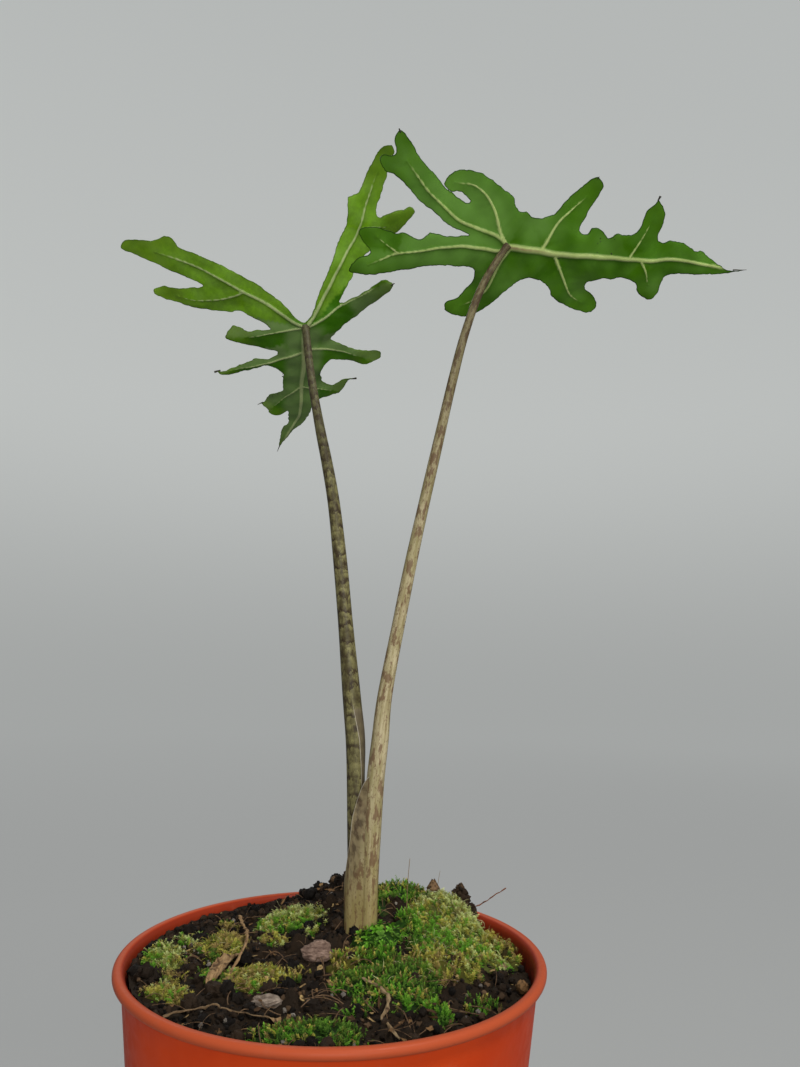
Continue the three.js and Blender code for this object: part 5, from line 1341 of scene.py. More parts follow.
def leaf_frame(leaf):
    tilt, turn, heading = (math.radians(leaf[key]) for key in ("tilt", "turn", "heading"))
    up = np.array([math.sin(tilt) * math.sin(turn), math.sin(tilt) * math.cos(turn), math.cos(tilt)])
    to_tip = np.array([math.cos(heading), math.sin(heading), 0])
    to_tip[2] = -(up[0] * to_tip[0] + up[1] * to_tip[1]) / up[2]
    to_tip = unit(to_tip)
    return np.array(leaf["junction"], float), to_tip, np.cross(up, to_tip), up


# Columns of a row of a vein: its place and lift, the width there, the share of its length that is
# behind, its direction, the distance from its start, and its number
U, V, LIFT, WIDTH, SHARE, WAY_U, WAY_V, LENGTH, NUMBER = range(9)


def lift_veins(leaf, spacing, smooth=False):
    """Rows at equal steps along each vein, with the columns that are named above."""
    lifted = {}
    for number, (name, (rise, width, parent, path)) in enumerate(leaf["veins"].items()):
        path = spline(path, 1.0, axes=2) if smooth else np.array(path, float)
        lengths = lengths_along(path)
        length = np.linspace(0, lengths[-1], max(2, math.ceil(lengths[-1] / spacing)) + 1)
        u, v = (np.interp(length, lengths, path[:, axis]) for axis in (0, 1))
        way, share = unit(np.gradient(beside(u, v), axis=0)), length / lengths[-1]
        start = 0.0
        if parent:
            rows = lifted[parent]
            nearest = np.argmin(np.hypot(rows[:, U] - path[0][0], rows[:, V] - path[0][1]))
            start = rows[nearest, LIFT]
        lift = start + (rise - start) * share ** BLADE["vein_power"]
        lifted[name] = beside(u, v, lift, width * (1 - BLADE["vein_taper"] * share), share,
                              way[:, 0], way[:, 1], length, np.full(len(share), number))
    return lifted


def blade_height(veins, u, v):
    """The height of the blade's middle over the leaf's plane."""
    away = (veins[None, :, U] - u[:, None]) ** 2 + (veins[None, :, V] - v[:, None]) ** 2
    weight = 1 / (away + BLADE["softness"] ** 2) ** 2
    height = (weight * veins[:, LIFT]).sum(1) / weight.sum(1)
    height += BLADE["pucker"] * (1 - np.exp(-np.sqrt(away.min(1)) / BLADE["pucker_reach"]))
    for amount, along, along_phase, across, across_phase in RIPPLES:
        height += amount * np.sin(along * u + along_phase) * np.sin(across * v + across_phase)
    return height


def inside(edge, points):
    """Which points lie inside a closed outline."""
    u, v = points[:, :1], points[:, 1:]
    a, b = edge, np.roll(edge, 1, axis=0)
    crossing = (a[:, 1] > v) != (b[:, 1] > v)
    rise = np.where(b[:, 1] == a[:, 1], 1e-9, b[:, 1] - a[:, 1])
    return (crossing & (u < (b[:, 0] - a[:, 0]) * (v - a[:, 1]) / rise + a[:, 0])).sum(1) % 2 == 1


def edge_distance(edge, points):
    """The distance from each point to the outline."""
    a, b = edge, np.roll(edge, -1, axis=0)
    span = b - a
    best = np.full(len(points), np.inf)
    for start, way in zip(a, span):
        t = np.clip(((points - start) @ way) / max(way @ way, 1e-9), 0, 1)
        best = np.minimum(best, np.hypot(*(points - start - t[:, None] * way).T))
    return best


def outward(edge):
    """The direction across a closed outline at each of its points."""
    tangent = unit(np.roll(edge, -1, axis=0) - np.roll(edge, 1, axis=0))
    return beside(tangent[:, 1], -tangent[:, 0])


def leaf_outline(leaf, seed):
    """The outline at fine steps, with a slightly uneven margin."""
    corners = [corner for lobe in leaf["lobes"].values() for corner in lobe]
    edge = spline(corners, BLADE["edge_step"], closed=True, axes=2)
    uneven = 0.16 * waves(edge, 3.0, seed) + 0.10 * waves(edge, 1.3, seed + 1)
    return edge + outward(edge) * uneven[:, None]


def with_more(kept, edge, candidates, from_edge, apart):
    """The kept points, and the candidates that are far enough from the outline and from all others."""
    candidates = candidates[inside(edge, candidates)]
    candidates = candidates[edge_distance(edge, candidates) > from_edge]
    chosen, cells = [], {}
    for point in kept:
        cells.setdefault((int(point[0] // 2), int(point[1] // 2)), []).append(point)
    for point in candidates:
        i, j = int(point[0] // 2), int(point[1] // 2)
        around = [(i + di, j + dj) for di in (-1, 0, 1) for dj in (-1, 0, 1)]
        near = [other for cell in around for other in cells.get(cell, ())]
        if all((other[0] - point[0]) ** 2 + (other[1] - point[1]) ** 2 > apart**2 for other in near):
            chosen.append(point)
            cells.setdefault((i, j), []).append(point)
    return np.vstack([kept, np.array(chosen).reshape(-1, 2)])


def leaf_points(edge, veins):
    """Points of the blade's mesh: the outline, rows beside each vein and the outline, and a lattice."""
    kept = edge
    for rows in veins.values():
        for share in (0, -0.26, 0.26, -0.42, 0.42, -0.56, 0.56, -0.8, 0.8):
            off = share * rows[:, WIDTH]
            row = beside(rows[:, U] - off * rows[:, WAY_V], rows[:, V] + off * rows[:, WAY_U])
            kept = with_more(kept, edge, row, 0.3, 0.16)
    for off in (0.45, -0.45):
        kept = with_more(kept, edge, edge + off * outward(edge), 0.36, 0.3)
    pitch, low, high = BLADE["lattice"], edge.min(0), edge.max(0)
    columns = np.arange(low[0], high[0], pitch)
    lines = np.arange(low[1], high[1], pitch * math.sqrt(0.75))
    i, j = np.meshgrid(columns, lines, indexing="ij")
    lattice = beside(i + 0.5 * pitch * (np.arange(len(lines)) % 2), j)
    lattice += np.random.default_rng(5).uniform(-0.08, 0.08, lattice.shape)
    return with_more(kept, edge, lattice, 0.7, 0.58)


def nearest_vein(veins, points):
    """For each point the row of its nearest vein station, measured against the vein's width."""
    rows = np.vstack(list(veins.values()))
    best = np.empty(len(points), int)
    for start in range(0, len(points), 2000):
        part = points[start:start + 2000]
        away = np.hypot(rows[None, :, U] - part[:, :1], rows[None, :, V] - part[:, 1:])
        best[start:start + 2000] = np.argmin(away - 0.4 * rows[None, :, WIDTH], 1)
    return rows[best]


def on_leaf(leaf, u, v, heights):
    """Points at u and v in the leaf's plane, this high over it."""
    origin, to_tip, across, up = leaf_frame(leaf)
    return origin + np.outer(u, to_tip) + np.outer(v, across) + np.outer(heights, up)


def blade_mesh(leaf, edge):
    """The blade seen flat: its points (u, v) and triangles."""
    flat = leaf_points(edge, lift_veins(leaf, 0.9, smooth=True))
    n = len(edge)
    round_edge = [(i, (i + 1) % n) for i in range(n)]
    result = delaunay_2d_cdt([Vector(point) for point in flat], round_edge, [], 1, 1e-4)
    flat = np.array([tuple(point) for point in result[0]])
    triangles = np.array([face for face in result[2] if len(face) == 3])
    triangles = triangles[inside(edge, flat[triangles].mean(1))]
    used = np.unique(triangles)
    renumbered = np.full(len(flat), -1)
    renumbered[used] = np.arange(len(used))
    flat, triangles = flat[used], renumbered[triangles]
    a, b, c = (flat[triangles[:, k]] for k in range(3))
    area = (b - a)[:, 0] * (c - a)[:, 1] - (b - a)[:, 1] * (c - a)[:, 0]
    return flat, np.where((area > 0)[:, None], triangles, triangles[:, ::-1])


def painted_sheen_share(leaf, u, v, near, veins):
    """How much painted sheen, a dull pale grey-green, each point of the underside has."""
    names, number = list(leaf["veins"]), near[:, NUMBER].astype(int)
    from_u, from_v = u - near[:, U], v - near[:, V]
    side_of = np.array([leaf["painted_sheen_side"].get(name, 0) for name in names])[number]
    start = np.array([leaf["painted_sheen_from"].get(name, 2) for name in names])[number]
    to_tip = (from_u * near[:, WAY_V] - from_v * near[:, WAY_U]) * np.sign(near[:, WAY_V])
    painted_sheen = smoothstep(-0.2, 0.5, to_tip * side_of) * smoothstep(0, 4, near[:, LENGTH] - start)
    reach, mid = leaf["painted_sheen_middle"], veins["mid"]
    if reach:
        middle = np.hypot(mid[None, :, U] - u[:, None], mid[None, :, V] - v[:, None]).min(1)
        painted_sheen = np.maximum(painted_sheen, smoothstep(1.3 * reach, 0.7 * reach, middle) * smoothstep(-3, 1, u))
    # Pale spots of painted sheen
    for spot_u, spot_v, radius, strength in leaf["pale"]:
        painted_sheen = painted_sheen + strength * np.exp(-((u - spot_u) ** 2 + (v - spot_v) ** 2) / radius**2)
    # Painted sheen close beside the veins named in glow
    glow = np.isin(number, [names.index(name) for name in leaf["glow"]])
    return painted_sheen + 0.45 * glow * smoothstep(8, 1, np.hypot(from_u, from_v))


def blade_marks(leaf, u, v, near, veins, rim, young_share, seed):
    """Numbers at each point that the leaf's materials read."""
    basal_vein = np.array([name.startswith("basal") for name in leaf["veins"]])
    basal = basal_vein[near[:, NUMBER].astype(int)]
    share, length = near[:, SHARE], near[:, LENGTH]
    across = np.hypot(near[:, U] - u, near[:, V] - v) / near[:, WIDTH]
    fade = smoothstep(1.0, 0.86, share)
    vein = smoothstep(0.60, 0.38, across / np.where(basal, 0.62, 0.86)) * fade
    wander = waves(beside(u, v), 6, seed + 4)
    young = young_share(u, v, basal)
    brown_line = 0.5 * basal * smoothstep(0.50, 0.60, across) * smoothstep(0.85, 0.7, across)
    brown_line = brown_line * smoothstep(4, 10, length)
    tip_share = smoothstep(0.78, 1.0, share) * smoothstep(6, 1, np.minimum(rim, 6))
    return {
        "vein": vein,
        # Painted shade beside each vein, outside its pale middle
        "painted_vein_shade": smoothstep(1.15, 0.5, across) * fade * (1 - vein),
        "core": smoothstep(0.3, 0.0, across) * smoothstep(22, 0, length) * (near[:, NUMBER] == 0),
        # Painted sheen, with a little random variation
        "painted_sheen": np.clip(painted_sheen_share(leaf, u, v, near, veins) + 0.12 * wander, 0, 1),
        "young": np.clip(young + 0.12 * wander * (young > 0), 0, 1),
        "olive": np.clip(leaf["olive"] * tip_share + brown_line, 0, 1),
        "edge": rim,
    }


def side_veins(u, v, near, seed):
    """Side veins leave each vein forwards, every few millimetres: 0.5 past a whole number is on one."""
    lean, pitch = 0.75, 3.4
    away = np.hypot(near[:, U] - u, near[:, V] - v)
    turn_side = np.sign((u - near[:, U]) * near[:, WAY_V] - (v - near[:, V]) * near[:, WAY_U])
    side = (near[:, LENGTH] - lean * away) / pitch + 0.2 * turn_side + 3.1 * near[:, NUMBER] + 20
    return side + 0.18 * waves(beside(u, v), 5, seed + 5)


def open_edges(triangles):
    """The edges that only one triangle has."""
    sides = {}
    for p, q, r in triangles.tolist():
        for a, b in ((p, q), (q, r), (r, p)):
            if (b, a) in sides:
                del sides[(b, a)]
            else:
                sides[(a, b)] = True
    return list(sides)


def make_blade(name, node, leaf, materials, young_share, seed):
    """A blade with a green underside, a darker upper side, raised veins and an uneven margin."""
    coarse = np.vstack(list(lift_veins(leaf, 2).values()))
    fine = lift_veins(leaf, 0.55, smooth=True)
    edge = leaf_outline(leaf, seed)
    flat, triangles = blade_mesh(leaf, edge)
    u, v = flat.T
    rim = edge_distance(edge, flat)
    near = nearest_vein(fine, flat)
    marks = blade_marks(leaf, u, v, near, fine, rim, young_share, seed)
    marks["side"] = side_veins(u, v, near, seed)

    height = blade_height(coarse, u, v)
    step = 0.2
    slope_u = (blade_height(coarse, u + step, v) - height) / step
    slope_v = (blade_height(coarse, u, v + step) - height) / step
    steepness = np.sqrt(1 + slope_u**2 + slope_v**2)
    width = near[:, WIDTH]
    away = np.hypot(near[:, U] - u, near[:, V] - v)
    bulge = np.clip(1 - (away / (BLADE["rib_reach"] * width)) ** 2, 0, 1) ** 2
    rib = BLADE["rib"] * width * bulge * (1 - 0.5 * smoothstep(0.8, 1, near[:, SHARE]))
    quilt = 0.06 * np.cos(2 * math.pi * marks["side"])
    quilt *= smoothstep(0.6, 2.5, rim) * smoothstep(0.8, 2.0, away / width)
    height = height + 0.3 * waves(flat, 9, seed + 6) * smoothstep(4, 0, rim)
    half = BLADE["half"] * (0.35 + 0.65 * smoothstep(0, 1.2, rim)) * steepness

    top = on_leaf(leaf, u, v, height + half + 0.5 * quilt - 0.14 * rib)
    under = on_leaf(leaf, u, v, height - half - rib - quilt)
    n = len(flat)
    rim_faces = [face for a, b in open_edges(triangles) for face in ((a, a + n, b + n), (a, b + n, b))]
    faces = np.concatenate([triangles, triangles[:, ::-1] + n, np.array(rim_faces)])
    material_of = (np.arange(len(faces)) < len(triangles)).astype(int)
    shape = Shape(np.vstack([top, under]), faces, leaf=np.tile(beside(u, v, height), (2, 1)),
                  **{key: np.tile(value, 2) for key, value in marks.items()})
    add_piece(name, shape, materials, [node], material_of, sharp=80)
    add_piece(name + "_dried_tips", dried_tips(leaf, coarse, seed), [dried_tip()])


def dried_tips(leaf, veins, seed):
    """The dried points at lobe tips, and small dark specks on the underside."""
    rng = np.random.default_rng(seed)
    shapes = []
    for (start_u, start_v), (end_u, end_v), radius, end_radius in leaf["points"]:
        share = np.linspace(0, 1, 7)
        u, v = start_u + (end_u - start_u) * share, start_v + (end_v - start_v) * share
        middles = on_leaf(leaf, u, v, blade_height(veins, u, v))
        point = tube(np.column_stack([middles, radius + (end_radius - radius) * share]), 8)
        shapes.append(Shape(point.points, point.triangles))
    for speck in leaf["specks"]:
        u, v = np.array(speck[:1], float), np.array(speck[1:], float)
        place = on_leaf(leaf, u, v, blade_height(veins, u, v) - BLADE["half"] - 0.05)[0]
        up, radius = rng.normal(size=3), rng.uniform(0.12, 0.26)
        shapes.append(one_copy(stone(61, 4, 6, 0.3), place, up, scale=radius))
    return join(shapes)


def young_left(u, v, basal):
    """The young leaf is yellow-green on its basal lobes."""
    return basal * smoothstep(3, 12, np.hypot(u, v))


def young_right(u, v, basal):
    """The older leaf is deeper and fresher green to its tip."""
    return 0.8 * smoothstep(35, 70, u)


def make_leaves():
    right = [leaf_under("leaf_underside"), leaf_top("leaf_top")]
    make_blade("leaf_right", "blade_right", RIGHT_LEAF, right, young_right, 200)
    left = [leaf_under("young_leaf_underside"), leaf_top("young_leaf_top")]
    make_blade("leaf_left", "blade_left", LEFT_LEAF, left, young_left, 300)


# Moss

def leaflet(root, way, rise, length, width, curl):
    """One small leaf of two triangles and a fold: root, two sides, tip."""
    way = np.array([math.cos(way), math.sin(way), 0])
    out = way * math.cos(rise) + np.array([0, 0, math.sin(rise)])
    side = np.array([-way[1], way[0], 0])
    middle = root + out * 0.45 * length
    tip = root + out * length + np.array([0, 0, curl * length])
    sag = np.array([0, 0, 0.18 * width])
    return [root, middle - side * width / 2 + sag, tip, middle + side * width / 2 + sag]


def fan_leaves(points, share):
    """Two triangles for each leaf of four points."""
    first = np.arange(0, len(points), 4)
    triangles = np.concatenate([beside(first, first + 1, first + 2), beside(first, first + 2, first + 3)])
    return Shape(points, triangles, share=np.clip(share, 0, 1))


def spire(seed):
    """An upright shoot set with small pointed leaves, about 2.6 mm tall."""
    rng = np.random.default_rng(seed)
    leaves, tall = 22, 2.2
    points, share = [], []
    for i in range(leaves):
        t = (i + 0.5) / leaves
        root = np.array([0.1 * math.sin(3 * t), 0.1 * math.cos(2 * t), tall * t])
        rise = math.radians(5 + 62 * t + rng.uniform(-14, 14))
        points += leaflet(root, i * GOLDEN_ANGLE, rise, 1.15 * (1 - 0.35 * t), 0.34, rng.uniform(-0.2, 0.2))
        share += [0.15 + 0.75 * t, 0.3 + 0.7 * t, 0.5 + 0.5 * t, 0.3 + 0.7 * t]
    return fan_leaves(points, share)


def star(seed):
    """A shoot with a dense starry head of curved strips, about 2.4 mm tall and wide."""
    rng = np.random.default_rng(seed)
    points, share = [], []
    # Strips in each tier, its height, their rise in degrees and their length
    tiers = ((7, 0.5, -5, 1.15), (9, 1.1, 8, 1.3), (9, 1.6, 32, 1.15), (7, 1.9, 62, 0.8))
    for tier, (count, height, rise, length) in enumerate(tiers):
        for i in range(count):
            way = (i + 0.5 * tier) / count * 2 * math.pi + rng.uniform(-0.25, 0.25)
            lean = math.radians(rise + rng.uniform(-14, 14))
            root = np.array([0, 0, height])
            reach, curl = length * rng.uniform(0.75, 1.2), rng.uniform(-0.3, 0.2)
            points += leaflet(root, way, lean, reach, 0.2, curl)
            share += [0.2 + 0.2 * tier, 0.4 + 0.18 * tier, 0.75 + 0.08 * tier, 0.4 + 0.18 * tier]
    return fan_leaves(points, share)


def leafy(seed):
    """A low rosette of broad rounded leaves, about 2 mm tall and 4 mm wide."""
    rng = np.random.default_rng(seed)
    leaves, rows, columns = 7, 5, 3
    t, s = sheet(rows, columns)
    shapes = []
    for i in range(leaves):
        way = i * GOLDEN_ANGLE + rng.uniform(-0.2, 0.2)
        lean = math.radians(rng.uniform(15, 60))
        length, width = rng.uniform(1.5, 2.3), rng.uniform(0.9, 1.35)
        forward = t * length
        side = s * (0.5 * width * np.sin(math.pi * np.clip(t, 0.08, 0.97)) ** 0.6)
        lift = forward * math.sin(lean) - 0.14 * forward**2 + 0.22 * side**2 + 0.25
        ahead = forward * math.cos(lean)
        points = beside(ahead * math.cos(way) - side * math.sin(way),
                        ahead * math.sin(way) + side * math.cos(way), lift + 0.16 * i)
        share = (0.25 + 0.55 * t + 0.03 * i - 0.12 * (s == 0)).ravel()
        shapes.append(Shape(points, grid_triangles(rows, columns), share=share))
    return join(shapes)


def feather(seed):
    """An arching strand with two rows of fine leaves, about 3 mm tall."""
    rng = np.random.default_rng(seed)
    pairs = 13
    points, share = [], []
    for i in range(pairs):
        t = (i + 0.5) / pairs
        root = np.array([2.1 * t**2, 0, 3.4 * t * (1 - 0.3 * t)])
        for side in (-1, 1):
            way, rise = side * math.radians(80 - 40 * t), math.radians(rng.uniform(5, 45))
            points += leaflet(root, way, rise, 0.95 * (1 - 0.55 * t), 0.19, rng.uniform(-0.2, 0.2))
            share += [0.2 + 0.5 * t, 0.35 + 0.5 * t, 0.55 + 0.45 * t, 0.35 + 0.5 * t]
    return fan_leaves(points, share)


SHOOTS = {"spire": (spire,), "leafy": (leafy, feather), "soft": (star, feather), "plume": (spire, feather)}
VARIANTS = 4
# Other tones that grow through each tone of moss, and their shares
MIXED = {
    "bright": {"green": 0.22, "yellow": 0.08},
    "green": {"bright": 0.24, "tan": 0.08, "yellow": 0.08},
    "pale": {"bright": 0.24, "yellow": 0.18, "tan": 0.03},
    "yellow": {"bright": 0.14, "tan": 0.30, "pale": 0.10},
    "tan": {"green": 0.14, "yellow": 0.34},
}


def mixed_tones(tone, x, y, middle, rng):
    """The tone of each shoot: the others in patches, more of them to the front left of the clump."""
    value = waves(beside(x, y), 4.5, 900) + rng.normal(0, 0.25, len(x))
    value += 0.04 * (x - middle[0]) + 0.07 * (y - middle[1])
    rank = np.argsort(np.argsort(value)) / max(len(x), 1)
    picked, reached = np.full(len(x), tone, dtype=object), 0.0
    for other, share in MIXED[tone].items():
        picked[(rank >= reached) & (rank < reached + share)] = other
        reached += share
    return picked


def plant_shoots(kind, places, lean, scale, rng):
    """Shoots of one kind at the given places, each with its own turn, lean and tint."""
    count = len(places)
    sway = beside(rng.normal(0, 0.32, count), rng.normal(0, 0.32, count))
    frames = turned(beside(*(lean + sway).T, np.ones(count)), rng.uniform(0, 2 * math.pi, count))
    tint = rng.uniform(size=count)
    shapes = []
    for variant in range(VARIANTS):
        pick = np.arange(count) % VARIANTS == variant
        template = SHOOTS[kind][variant % len(SHOOTS[kind])](80 + variant)
        if pick.any():
            shapes.append(scatter(template, places[pick], frames[pick], scale[pick], tint=tint[pick]))
    return shapes


def lobed(angle, phase):
    """The uneven reach of a clump in each direction."""
    return 1 + 0.12 * np.sin(3 * angle + phase)


def moss_cushion(x, y, wide, deep, height, rng):
    """The dense body under the shoots."""
    rings, sides = 14, 48
    turn, share = ring_angles(sides), np.linspace(1, 0.02, rings)
    px = x + wide * np.outer(share, np.cos(turn) * lobed(turn, x))
    py = y + deep * np.outer(share, np.sin(turn) * lobed(turn, x))
    inward = np.minimum(1, REACH["cushion"] / np.hypot(px, py))
    px, py = px * inward, py * inward
    top = smooth_soil(px, py) + DOME_EDGE - 0.5 + height * (1 - share[:, None] ** 2)
    top += 0.35 * waves(beside(px, py), 2.2, int(rng.integers(1000))).reshape(px.shape)
    top[0] -= 2
    values = {"share": np.full(px.size, 0.12), "tint": np.full(px.size, 0.1)}
    return Shape(beside(px, py, top), grid_triangles(rings, sides, True), **values)


def make_clump(name, number, finishes):
    """A clump of moss: shoots of its own tone and a few others on a dense cushion."""
    x, y, wide, deep, height, kind, tone = MOSS[name]
    rng = np.random.default_rng(400 + number)
    gap = SHOOT_GAP[kind]
    count = int(math.pi * wide * deep * 1.1 / gap**2 * 1.25)
    i = np.arange(count)
    share = np.sqrt((i + 0.5) / count) * 1.05
    angle = i * GOLDEN_ANGLE + rng.normal(0, 0.05, count)
    px = x + wide * share * np.cos(angle) * lobed(angle, x) + rng.normal(0, 0.3 * gap, count)
    py = y + deep * share * np.sin(angle) * lobed(angle, x) + rng.normal(0, 0.3 * gap, count)
    keep = (np.hypot(px, py) < REACH["shoot"]) & (rng.uniform(size=count) > smoothstep(0.8, 1.1, share) * 0.5)
    # Small dark gaps where no shoot stands
    patch = waves(beside(px, py), 3.2, 520 + number)
    keep &= patch > np.quantile(patch, 0.14)
    px, py, share, angle = px[keep], py[keep], share[keep], angle[keep]
    dome = height * np.clip(1 - share**2, 0, 1) * (1 + 0.2 * waves(beside(px, py), 4, 500 + number))
    places = beside(px, py, smooth_soil(px, py) + DOME_EDGE - 0.8 + dome)
    scale = rng.uniform(0.50, 1.0, len(px)) * (1 - 0.3 * smoothstep(0.8, 1.05, share))
    slant = 0.45 * share
    lean = beside(slant * np.cos(angle), slant * np.sin(angle))
    shapes = [moss_cushion(x, y, wide, deep, height, rng)]
    material_of = [np.zeros(len(shapes[0].triangles), int)]
    shades = [tone, *MIXED[tone]]
    picked = mixed_tones(tone, px, py, (x, y), rng)
    for index, shade in enumerate(shades):
        pick = picked == shade
        if pick.any():
            planted = join(plant_shoots(kind, places[pick], lean[pick], scale[pick], rng))
            shapes.append(planted)
            material_of.append(np.full(len(planted.triangles), index))
    materials = [finishes[shade] for shade in shades]
    add_piece(name + "_shoots", join(shapes), materials, [name], np.concatenate(material_of))


def make_moss():
    finishes = {tone: moss_finish(tone) for tone in MOSS_TONES}
    for number, name in enumerate(MOSS):
        make_clump(name, number, finishes)
    make_carpets(finishes)


def make_carpets(finishes):
    """Lower moss between the clumps, one piece for each tone."""
    tones = {}
    for number, (x, y, radius, height, kind, tone) in enumerate(CARPETS):
        rng = np.random.default_rng(600 + number)
        count = int(math.pi * radius**2 / SHOOT_GAP[kind] ** 2 * 1.05)
        share, angle = np.sqrt(rng.uniform(size=count)), rng.uniform(0, 2 * math.pi, count)
        px, py = x + radius * share * np.cos(angle), y + radius * share * np.sin(angle)
        ragged = waves(beside(px, py), 7, 700) + 0.75 > share**2 + rng.uniform(-0.2, 0.2, count)
        off_stems = np.hypot(px - STEM_FOOT[0], py - STEM_FOOT[1]) > STEM_ROOM
        keep = (np.hypot(px, py) < REACH["carpet"]) & ragged & off_stems
        px, py, share = px[keep], py[keep], share[keep]
        dome = smooth_soil(px, py) + DOME_EDGE - 0.6 + height * (1 - share**2)
        places = beside(px, py, np.maximum(ground(px, py) - 0.3, dome))
        scale = rng.uniform(0.4, 0.9, len(px))
        picked = mixed_tones(tone, px, py, (x, y), rng)
        for shade in sorted(set(picked)):
            pick = picked == shade
            upright = np.zeros((pick.sum(), 2))
            planted = plant_shoots(kind, places[pick], upright, scale[pick], rng)
            tones.setdefault(shade, []).extend(planted)
        if height > 1.3:
            cushion = moss_cushion(x, y, 0.85 * radius, 0.85 * radius, 0.9 * height, rng)
            tones.setdefault(tone, []).append(cushion)
    for tone, shapes in tones.items():
        add_piece("moss_carpet_" + tone, join(shapes), [finishes[tone]])


# Dry litter

def make_twigs():
    """Dry stalks and roots, a little crooked, thinner in places and knotted in others."""
    for number, (name, (finish, radius, tip, stops)) in enumerate(TWIGS.items()):
        x, y, lift = np.array(stops).T
        radii = radius + (tip - radius) * np.linspace(0, 1, len(stops))
        rows = spline(beside(x, y, smooth_soil(x, y) + lift, radii), 0.6)
        for axis in range(3):
            rows[:, axis] += 0.22 * waves(rows[:, :3], 3.5, 720 + 10 * number + axis)
        rows[:, 3] *= 0.56 + 0.20 * waves(rows[:, :3], 2.4, 760 + number)
        # It lies on the crumbs and doesn't dip into them
        rows[:, 2] = np.maximum(rows[:, 2], ground(rows[:, 0], rows[:, 1]) + TWIG_LIFT)

        def swell(turn, length, phase=number):
            oval = 0.20 * np.sin(2 * turn + 0.35 * length + phase)
            return oval + 0.14 * np.sin(1.3 * length + 5 * turn + phase)

        add_piece(name + "_fine", tube(rows, 12, swell, 0.62), [dry_litter(finish)], [name])


def make_chunks():
    """Lumps and chips of bark."""
    for number, (name, (finish, x, y, size)) in enumerate(CHUNKS.items()):
        shape = stone(90 + number, 14, 22, 0.06)
        points = shape.points
        rough = 1 + 0.22 * waves(points, 1.1, 91 + number) + 0.08 * waves(points, 0.4, 92 + number)
        shape.points = points * rough[:, None] * size + [x, y, smooth_soil(x, y) + 0.6 * size[2]]
        add_piece(name + "_fine", shape, [bark(finish)], [name])


def crumpled_leaf(place, lift, length, width, turn, seed):
    """A dry leaf fallen on the soil, rolled and crumpled."""
    rows, columns = 22, 12
    t, s = sheet(rows, columns, -1)
    across = 0.5 * width * s * np.sqrt(np.clip(1 - 0.92 * t**2, 0, 1))
    along = 0.5 * length * t
    crumple = 0.8 * waves(beside(along, across), 3.4, seed)
    rolled = 0.24 * across**2 - 0.35 * width * t**2 + crumple.reshape(t.shape)
    x = place[0] + along * math.cos(turn) - across * math.sin(turn)
    y = place[1] + along * math.sin(turn) + across * math.cos(turn)
    points = beside(x, y, smooth_soil(x, y) + np.clip(lift + rolled, 0.3, 6))
    return Shape(points, grid_triangles(rows, columns), along=beside(0 * across, across, along))


def scaly_bud():
    """A small brown bud of overlapping scales that stands in the pale moss."""
    x, y = BUD["place"]
    foot = float(smooth_soil(x, y)) + BUD["lift"]
    rows, columns = 5, 4
    along, side = sheet(rows, columns)
    shapes = []
    for i in range(BUD["scales"]):
        t = i / BUD["scales"]
        angle = i * GOLDEN_ANGLE + 0.75 * side * (1 - 0.7 * along**2)
        reach = BUD["radius"] * (1 - 0.75 * t)
        radius = reach * (1 + 0.35 * np.sin(math.pi * along)) * (1 - 0.25 * along)
        z = foot + BUD["height"] * (0.75 * t + 0.42 * along * (1 - 0.3 * t))
        points = beside(x + radius * np.cos(angle), y + radius * np.sin(angle), z)
        values = beside(side, 0 * side, 3 * along + i)
        shapes.append(Shape(points, grid_triangles(rows, columns), along=values))
    return join(shapes)


def make_threads():
    """Pale and brown hairs that stand and curl out of the moss."""
    rng = np.random.default_rng(45)
    shapes, steps = [], 8
    for x, y, wide, deep, height, count in THREADS:
        for _ in range(count):
            share, angle = math.sqrt(rng.uniform()), rng.uniform(0, 2 * math.pi)
            foot_x, foot_y = x + wide * share * math.cos(angle), y + deep * share * math.sin(angle)
            length, heading = rng.uniform(1.5, 5.5), rng.uniform(0, 2 * math.pi)
            rise = rng.uniform(0.1, 1.2)
            s = np.linspace(0, length, steps)
            turn = heading + rng.uniform(-0.5, 0.5) * s
            lean = rise - rng.uniform(0.0, 0.5) * s
            px = foot_x + np.cumsum(np.cos(turn) * np.cos(lean)) * length / steps
            py = foot_y + np.cumsum(np.sin(turn) * np.cos(lean)) * length / steps
            foot_z = smooth_soil(foot_x, foot_y) + height * (1 - share**2) + 0.8
            pz = foot_z + np.cumsum(np.sin(lean)) * length / steps
            hair = ribbon(beside(px, py, pz), rng.uniform(0.06, 0.15), rng.uniform(-3, 3), rng.uniform())
            if np.hypot(px, py).max() < REACH["thread"]:
                shapes.append(hair)
    add_piece("moss_threads", join(shapes), [thread()])


def make_hairs():
    """Fine upright hairs, curved to one side."""
    shapes, share = [], np.linspace(0, 1, 9)
    for x, y, top_x, top_y, tall, radius in HAIRS:
        foot = float(smooth_soil(x, y))
        rows = beside(x + (top_x - x) * share**2, y + (top_y - y) * share**2, foot + tall * share,
                      radius * (1 - 0.5 * share))
        shapes.append(tube(rows, 6))
    add_piece("standing_hairs", join(shapes), [dry_litter("hair")])


def make_loose_lumps():
    """A few grey lumps that lie loose on the peat."""
    rng, shapes = np.random.default_rng(46), []
    for x, y, radius, tint in LOOSE_LUMPS:
        place = [x, y, ground(x, y) + 0.7 * radius]
        shapes.append(one_copy(stone(95, 9, 12, 0.22), place, rng.normal(size=3), scale=radius, tint=tint))
    add_piece("loose_lumps", join(shapes), [flake()])


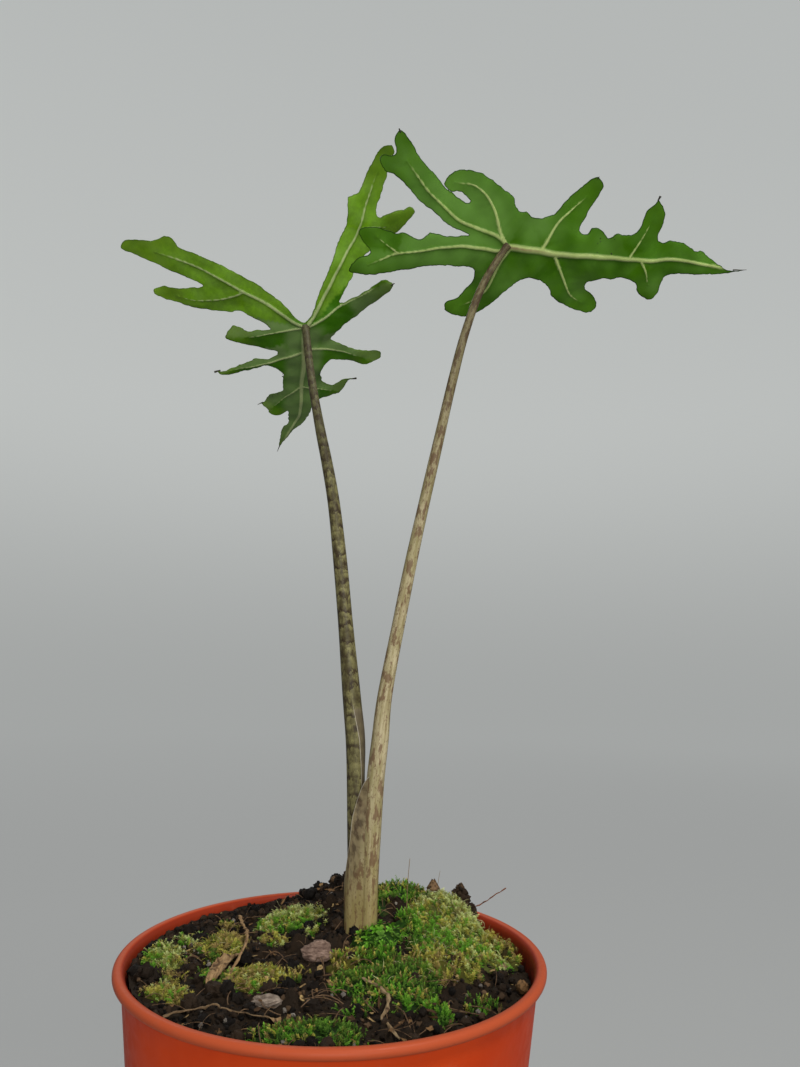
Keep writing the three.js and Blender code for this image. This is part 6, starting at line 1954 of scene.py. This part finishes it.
def make_litter():
    make_twigs()
    make_chunks()
    leaves = [crumpled_leaf(*leaf) for leaf in DRY_LEAVES]
    add_piece("crumpled_leaves", join(leaves), [dry_litter("crumpled_leaf")])
    add_piece("scaly_bud", scaly_bud(), [dry_litter("bud_scale")])
    make_hairs()
    make_loose_lumps()


def make_corm():
    """The corm is under the soil and keeps its solid."""
    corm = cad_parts["corm"]
    corm.data.materials.clear()
    corm.data.materials.append(corm_skin())


# Floor, light and camera

def make_stage():
    """A pale floor that curves up far away on all sides. It throws no light back on the plant."""
    radius, height, bend = STUDIO["radius"], STUDIO["height"], STUDIO["bend"]
    profile = [(r, 0.0) for r in np.linspace(0.001, radius - bend, 12)]
    for angle in np.linspace(0.1, math.pi / 2, 14):
        profile.append((radius - bend + bend * math.sin(angle), bend - bend * math.cos(angle)))
    profile = np.array([*profile, (radius, height)])
    points = revolve(profile, STUDIO["sides"])
    triangles = grid_triangles(len(profile), STUDIO["sides"], True)
    mesh = bpy.data.meshes.new("studio_floor")
    mesh.from_pydata((points * MM).tolist(), [], triangles.tolist())
    mesh.shade_smooth()
    floor = add_object("studio_floor", mesh)
    floor.visible_shadow = False
    floor.visible_diffuse = False
    floor.visible_glossy = False
    f = Finish("studio_paint")
    place = f.place()
    colour = f.mix(f.band(f.upward(place), 0, 1100), (0.15, 0.155, 0.15), (0.60, 0.62, 0.60))
    away = f.node("ShaderNodeVectorMath", {0: place}, operation="LENGTH").outputs["Value"]
    glow = f.mix(f.band(away, 250, 1900), (0.21, 0.215, 0.215), (0.31, 0.32, 0.315))
    f.plug(f.shader.inputs["Emission Color"], glow)
    mesh.materials.append(f.done(colour, 0.9, Emission_Strength=1.0))


def add_light(name, place, aim, size, power, colour):
    data = bpy.data.lights.new(name, "AREA")
    data.shape, data.size, data.energy, data.color = "DISK", size, power, colour
    light = add_object(name, data)
    light.location = place
    light.rotation_euler = (Vector(aim) - Vector(place)).to_track_quat("-Z", "Y").to_euler()
    light.visible_camera = False


def make_light():
    world = bpy.data.worlds.new("studio")
    world.use_nodes = True
    background = world.node_tree.nodes["Background"]
    background.inputs["Color"].default_value = (0.96, 0.98, 1.0, 1)
    background.inputs["Strength"].default_value = STUDIO["sky"]
    bpy.context.scene.world = world
    for name, light in LIGHTS.items():
        add_light(name, *light)


def make_camera():
    data = bpy.data.cameras.new("camera")
    data.sensor_width = CAMERA["sensor"]
    data.lens = CAMERA["focal_px"] / CAMERA["height_px"] * CAMERA["sensor"]
    data.clip_start, data.clip_end = 0.01, 20
    camera = add_object("camera", data)
    look = Matrix.Rotation(math.radians(90 + CAMERA["look_up"]), 3, "X")
    camera.rotation_euler = (look @ Matrix.Rotation(math.radians(CAMERA["roll"]), 3, "Z")).to_euler()
    camera.location = Vector(CAMERA["place"]) * MM
    bpy.context.scene.camera = camera
    bpy.context.scene.view_settings.view_transform = "Standard"


make_camera()
make_stage()
make_light()
make_pot()
make_soil()
make_crumbs()
make_grit()
make_flakes()
make_fibres()
make_corm()
make_stems()
make_leaves()
make_moss()
make_threads()
make_litter()
